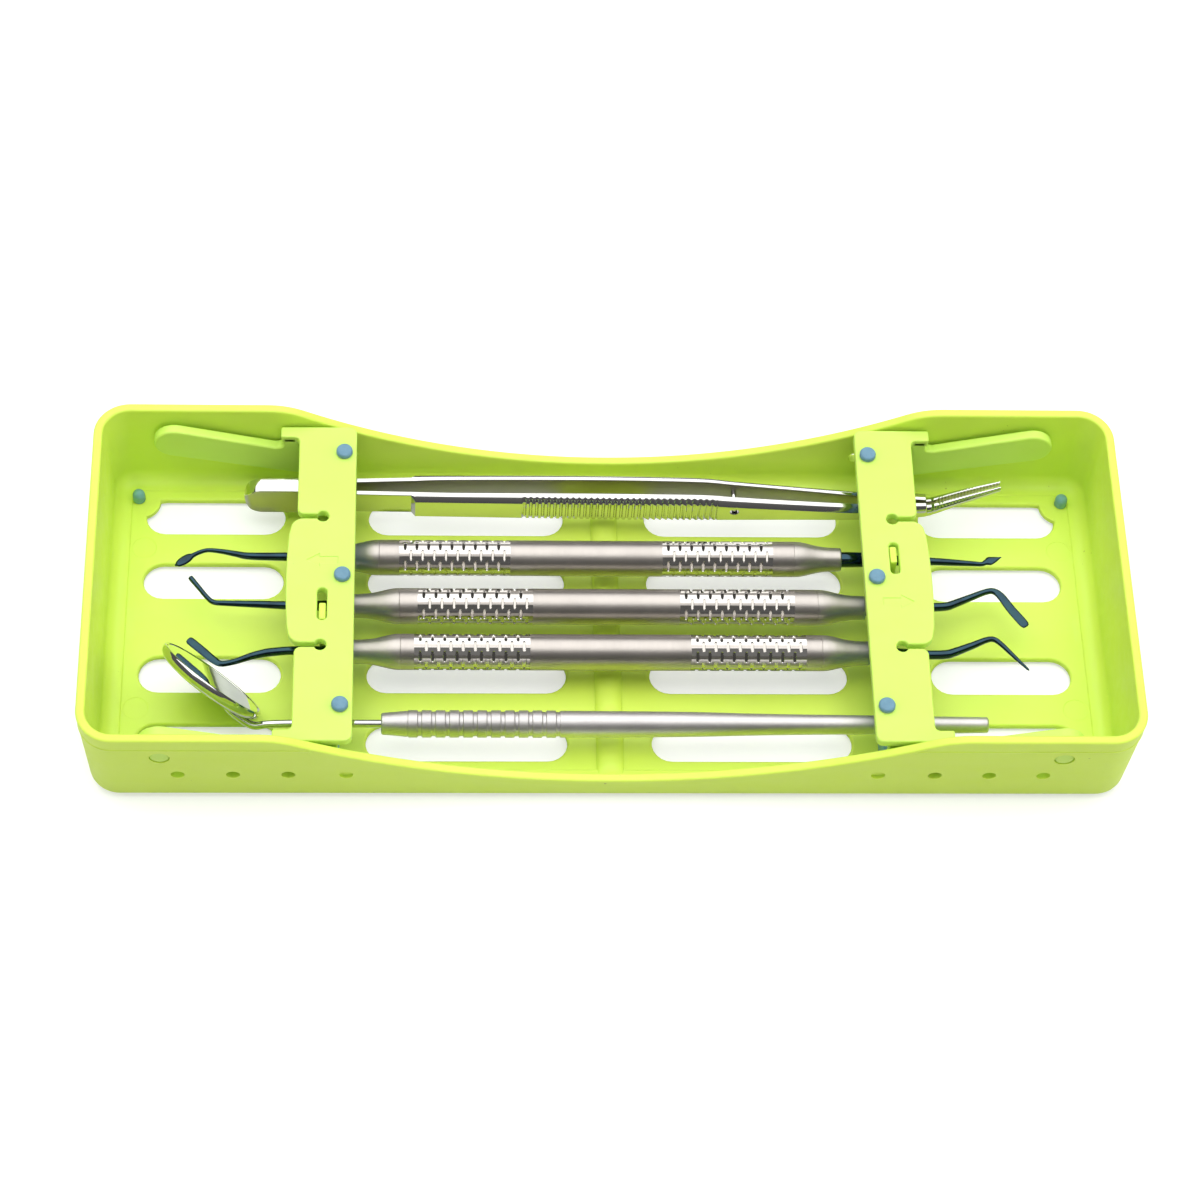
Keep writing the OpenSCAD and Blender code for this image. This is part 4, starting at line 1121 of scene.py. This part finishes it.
FRONT2 = [(-38.2, 25.65, 23.6), (-29, 25.5, 23.5), (0, 25.35, 23.1), (19, 25.2, 23.0), (26, 24.95, 22.85), (38, 24.5, 22.6), (50, 24.2, 22.4), (63, 24.3, 22.8), (66, 24.4, 23.1),
          (72, 24.7, 23.7), (79.2, 25.05, 24.36)]


def interp(rows, x):
    p = catmull(rows, 12)
    return np.array([np.interp(x, p[:, 0], p[:, i]) for i in range(1, p.shape[1])])


def section(rt_in, rt_out, rb, n=5, bevel=1.0):
    """Corner list of an arm's section: (side, up, centre offset y, z, radius y, z). Side +1 is the outer face."""
    out = []
    for side, upz, r, a0 in ((1, 1, rt_out, 0), (-1, 1, rt_in, 90), (-1, -1, rb, 180), (1, -1, rb, 270)):
        for a in np.linspace(a0, a0 + 90, n):
            c, q = math.cos(math.radians(a)), math.sin(math.radians(a))
            if (side, upz) == (1, 1):
                c, q = abs(c) ** bevel, abs(q) ** bevel
            out.append((side, upz, r, c, q))
    return out


def arm_rings(xs, yi, yo, zmid, hw, sec, ytop=None):
    """One ring per station. Every corner has its own radius, limited by the section's size."""
    rings = []
    for i, (x, a, b, zc, h) in enumerate(zip(xs, yi, yo, zmid, hw)):
        ht = abs(b - a) / 2
        sg = 1.0 if b > a else -1.0
        ring = []
        for side, upz, r, ca, sa in sec:
            ry, rz = r
            ry, rz = min(ry, ht * 0.92), min(rz, h * 0.92)
            base = b if side > 0 else a
            ring.append((x, base + sg * (-side * ry + ca * ry), zc + upz * (h - rz) + sa * rz))
        rings.append(ring)
    return np.asarray(rings)


SEC_THIN = section((0.12, 0.12), (0.12, 0.12), (0.15, 0.15), 7)
SEC_THICK = section((0.14, 0.14), (1.5, 0.85), (0.3, 0.3), 7, 1.75)
SEC_BACK = section((0.14, 0.14), (0.45, 0.5), (0.3, 0.3), 7, 1.6)


def nose_width(x):
    """Half height of the round end in side view."""
    if x > -68.5:
        return 3.85
    return math.sqrt(max(3.85 ** 2 - (x + 68.5) ** 2, 0.02))


def build_tweezers():
    objs = []
    xs2 = np.concatenate([np.linspace(-38.2, 62.3, 415), [62.4, 62.5], np.linspace(62.8, 64.7, 8), [64.85, 64.95], np.linspace(65.2, 79.2, 140)])
    for name, thin, thick, front in (("tweezers_arm_back_forging", BACK, BACK2, False), ("tweezers_arm_front_forging", FRONT, FRONT2, True)):
        sec1, sec2 = SEC_THIN, (SEC_THICK if front else SEC_BACK)
        if front:
            x1 = np.concatenate([[-59.8, -59.7], np.linspace(-59.2, -39.0, 40)])
        else:
            t = np.linspace(0, math.pi / 2, 16)
            x1 = np.concatenate([-72.4 + 1.6 * (1 - np.cos(t[1:])), np.linspace(-70.4, -68.5, 14), np.linspace(-68.2, -60.0, 24), [-59.95, -59.3, -58.8],
                                 np.linspace(-58.2, -39.0, 44)])
        yi, yo = interp(thin, x1)
        hw, zm = interp(TW_SIDE, x1)
        hw = np.array([min(h, nose_width(x)) for h, x in zip(hw, x1)])
        if not front:
            for i, x in enumerate(x1):
                if x <= -59.99:
                    yi[i] = 25.0
                elif x < -58.8:
                    yi[i] = 25.98 + (27.6 - 25.98) * (x + 59.95) / 1.15
                if x < -70.8:
                    k = math.sqrt(max(1.6 ** 2 - (x + 70.8) ** 2, 0.0))
                    yi[i], yo[i] = 26.6 - max(k, 0.05), 26.6 + max(k, 0.05)
        rings = arm_rings(x1, yi, yo, TWZ + zm, hw, sec1)
        yi2, yo2 = interp(thick, xs2)
        hw2, zm2 = interp(TW_SIDE2, xs2)
        sgn = -1.0 if front else 1.0
        for i, x in enumerate(xs2):
            # ribs across the front arm's outer face
            if front and -16.6 < x < 22.5:
                ph = ((x + 16.6) / 1.22) % 1.0
                cut = 1.0 if 0.06 < ph < 0.42 else 0.0
                if 0.0 <= ph <= 0.06 or 0.42 <= ph <= 0.5:
                    cut = 0.5
                yo2[i] += 0.36 * cut
            # the thicker place before the tips
            if 62.35 < x < 64.9:
                e = 0.7 if (x < 62.45 or x > 64.8) else 1.0
                hw2[i] += 0.38 * e
                zm2[i] += 0.30 * e
                if not front:
                    yo2[i] += 0.38 * e
            # teeth on the inner faces of the tips
            if x > 67.0:
                ph = ((x - 67.0) / 0.62) % 1.0
                yi2[i] += sgn * 0.16 * (1 - abs(2 * ph - 1))
        rings2 = arm_rings(xs2, yi2, yo2, TWZ + zm2, hw2, sec2)
        allr = np.concatenate([rings, rings2])
        v, f = loft(allr)
        m = allr.shape[1]
        mat = []
        for i in range(len(allr) - 1):
            for k in range(m):
                j = (k + 1) % m
                # the inner flat faces get the darker brushed steel: painted shade between the arms
                flat_side = sec1[k][0] == sec1[j][0] and sec1[k][1] != sec1[j][1]
                mat.append(1 if flat_side and sec1[k][0] < 0 else 0)
        mat += [0, 0]
        sh = Shell()
        sh.add(v, f)
        sh.m = mat
        o = sh.done(name, [M_POLISH, M_BRUSH_SHADED], sharp=28, weld=1e-7)
        if front:
            cut = Shell()
            cv, cf = revolve([(21, 0), (21, 0.95), (26.2, 0.95), (26.2, 0)], 32, "y", (26, 0, 9.6))
            cut.add(cv, cf)
            c = cut.done("pin_cutter", [M_POLISH])
            b = o.modifiers.new("hole", "BOOLEAN")
            b.operation, b.solver, b.object = "DIFFERENCE", "EXACT", c
            dg = bpy.context.evaluated_depsgraph_get()
            me = bpy.data.meshes.new_from_object(o.evaluated_get(dg))
            o.modifiers.clear()
            o.data = me
            bpy.data.objects.remove(c)
            me.polygons.foreach_set("use_smooth", [True] * len(me.polygons))
            me.set_sharp_from_angle(angle=math.radians(28))
        objs.append(o)
    return objs


tb, tf = build_tweezers()
use(tb, "root", ["tweezers_arm_back"])
use(tf, "tweezers_front", ["tweezers_arm_front"])
v, f = revolve([(23.3, 0), (23.3, 0.42), (23.36, 0.52), (23.5, 0.56), (29.0, 0.56), (29.1, 0.45), (29.12, 0)], 32, "y", (26, 0, 9.6))
use(add_obj("tweezers_guide_pin_rod", v, f, [M_CHROME], sharp=40), "root", ["tweezers_guide_pin"])

# CAD pieces that keep their own shape get finished materials
for node in ("rest_rail_left", "rest_rail_right"):
    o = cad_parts[node]
    o.data.materials.clear()
    # the rails take the teal copy of the silicone: painted shade
    o.data.materials.append(M_SILICONE_SHADED_LOOK)
    b = o.modifiers.new("edge", "BEVEL")
    b.width, b.segments, b.limit_method, b.angle_limit = 0.00018, 2, "ANGLE", math.radians(40)

# --------------------------------------------------------------------------
# floor, light and camera
# --------------------------------------------------------------------------
fm, fnt, fb = new_mat("studio_floor")
fcol = mix(fnt, maprange(fnt, noise(fnt, 6, 3, 0.5), 0.3, 0.7, 0, 1), (0.62, 0.62, 0.625), (0.605, 0.605, 0.61))
fnt.links.new(fcol, fb.inputs["Base Color"])
fb.inputs["Roughness"].default_value = 0.75
fb.inputs["Emission Color"].default_value = (1, 1, 1, 1)
lp = fnt.nodes.new("ShaderNodeLightPath")
fnt.links.new(maprange(fnt, lp.outputs["Is Camera Ray"], 0.0, 1.0, 0.05, 0.48), fb.inputs["Emission Strength"])
me = bpy.data.meshes.new("studio_floor")
me.from_pydata([(-3, -3, 0), (3, -3, 0), (3, 3, 0), (-3, 3, 0)], [], [(0, 1, 2, 3)])
me.materials.append(fm)
floor = bpy.data.objects.new("studio_floor", me)
scene.collection.objects.link(floor)

w = bpy.data.worlds.new("studio")
scene.world = w
w.use_nodes = True
wn = w.node_tree
bg = wn.nodes["Background"]
tc = wn.nodes.new("ShaderNodeTexCoord")
sep = wn.nodes.new("ShaderNodeSeparateXYZ")
wn.links.new(tc.outputs["Generated"], sep.inputs[0])
cr_ = wn.nodes.new("ShaderNodeValToRGB")
el = cr_.color_ramp.elements
el[0].position, el[0].color = 0.0, (0.30, 0.30, 0.30, 1)
el[1].position, el[1].color = 1.0, (0.26, 0.257, 0.253, 1)
for pos, v in ((0.01, 0.12), (0.25, 0.10), (0.50, 0.10), (0.72, 0.13)):
    e = el.new(pos)
    e.color = (v * 1.01, v, v * 0.985, 1)
wn.links.new(sep.outputs["Z"], cr_.inputs["Fac"])
wn.links.new(cr_.outputs["Color"], bg.inputs["Color"])
bg.inputs["Strength"].default_value = 1.0


def area_light(name, loc, target, size, power, col=(1, 1, 1)):
    d = bpy.data.lights.new(name, "AREA")
    d.shape, d.size, d.size_y = "RECTANGLE", size[0], size[1]
    d.energy, d.color = power, col
    o = bpy.data.objects.new(name, d)
    o.location = loc
    o.rotation_mode = "QUATERNION"
    o.rotation_quaternion = (Vector(target) - Vector(loc)).to_track_quat("-Z", "Y")
    scene.collection.objects.link(o)
    return o


area_light("key_overhead", (-0.05, 0.45, 1.30), (0, 0.02, 0), (2.3, 1.9), 25.5)
for name, loc, power in (("fill_front", (0.15, -1.4, 0.8), 5.5), ("fill_right", (1.4, 0, 0.7), 9.5), ("fill_left", (-1.4, 0, 0.7), 5.0), ("fill_top", (0, -0.1, 1.5), 6.5)):
    area_light(name, loc, (0, 0, 0.01), (1.2, 0.8), power).visible_glossy = False

PITCH_R, YAW, ROLL = 1.0140071112877012, 0.09560209850447848, 0.08524223415948924
F_PX = 3412.8610153610343
CAM = Vector((-0.03561478971475496, -0.3530039675708022, 0.5824170256395164))
cy_, sy_ = math.cos(YAW), math.sin(YAW)
fwd = Vector((sy_ * math.cos(PITCH_R), cy_ * math.cos(PITCH_R), -math.sin(PITCH_R)))
right = Vector((cy_, -sy_, 0.0))
up = right.cross(fwd)
c_, s_ = math.cos(ROLL), math.sin(ROLL)
rr_ = right * c_ + up * s_
uu_ = -right * s_ + up * c_
cd = bpy.data.cameras.new("camera")
cd.sensor_fit = "HORIZONTAL"
cd.sensor_width = 36.0
cd.lens = F_PX / 1200.0 * 36.0
cd.clip_start, cd.clip_end = 0.01, 20.0
cam = bpy.data.objects.new("camera", cd)
cam.matrix_world = Matrix(((rr_.x, uu_.x, -fwd.x, CAM.x), (rr_.y, uu_.y, -fwd.y, CAM.y), (rr_.z, uu_.z, -fwd.z, CAM.z), (0, 0, 0, 1)))
scene.collection.objects.link(cam)
scene.camera = cam
scene.view_settings.view_transform = "Standard"
scene.view_settings.look = "None"
scene.view_settings.exposure = 0.0
scene.view_settings.gamma = 1.0

bpy.context.view_layer.update()
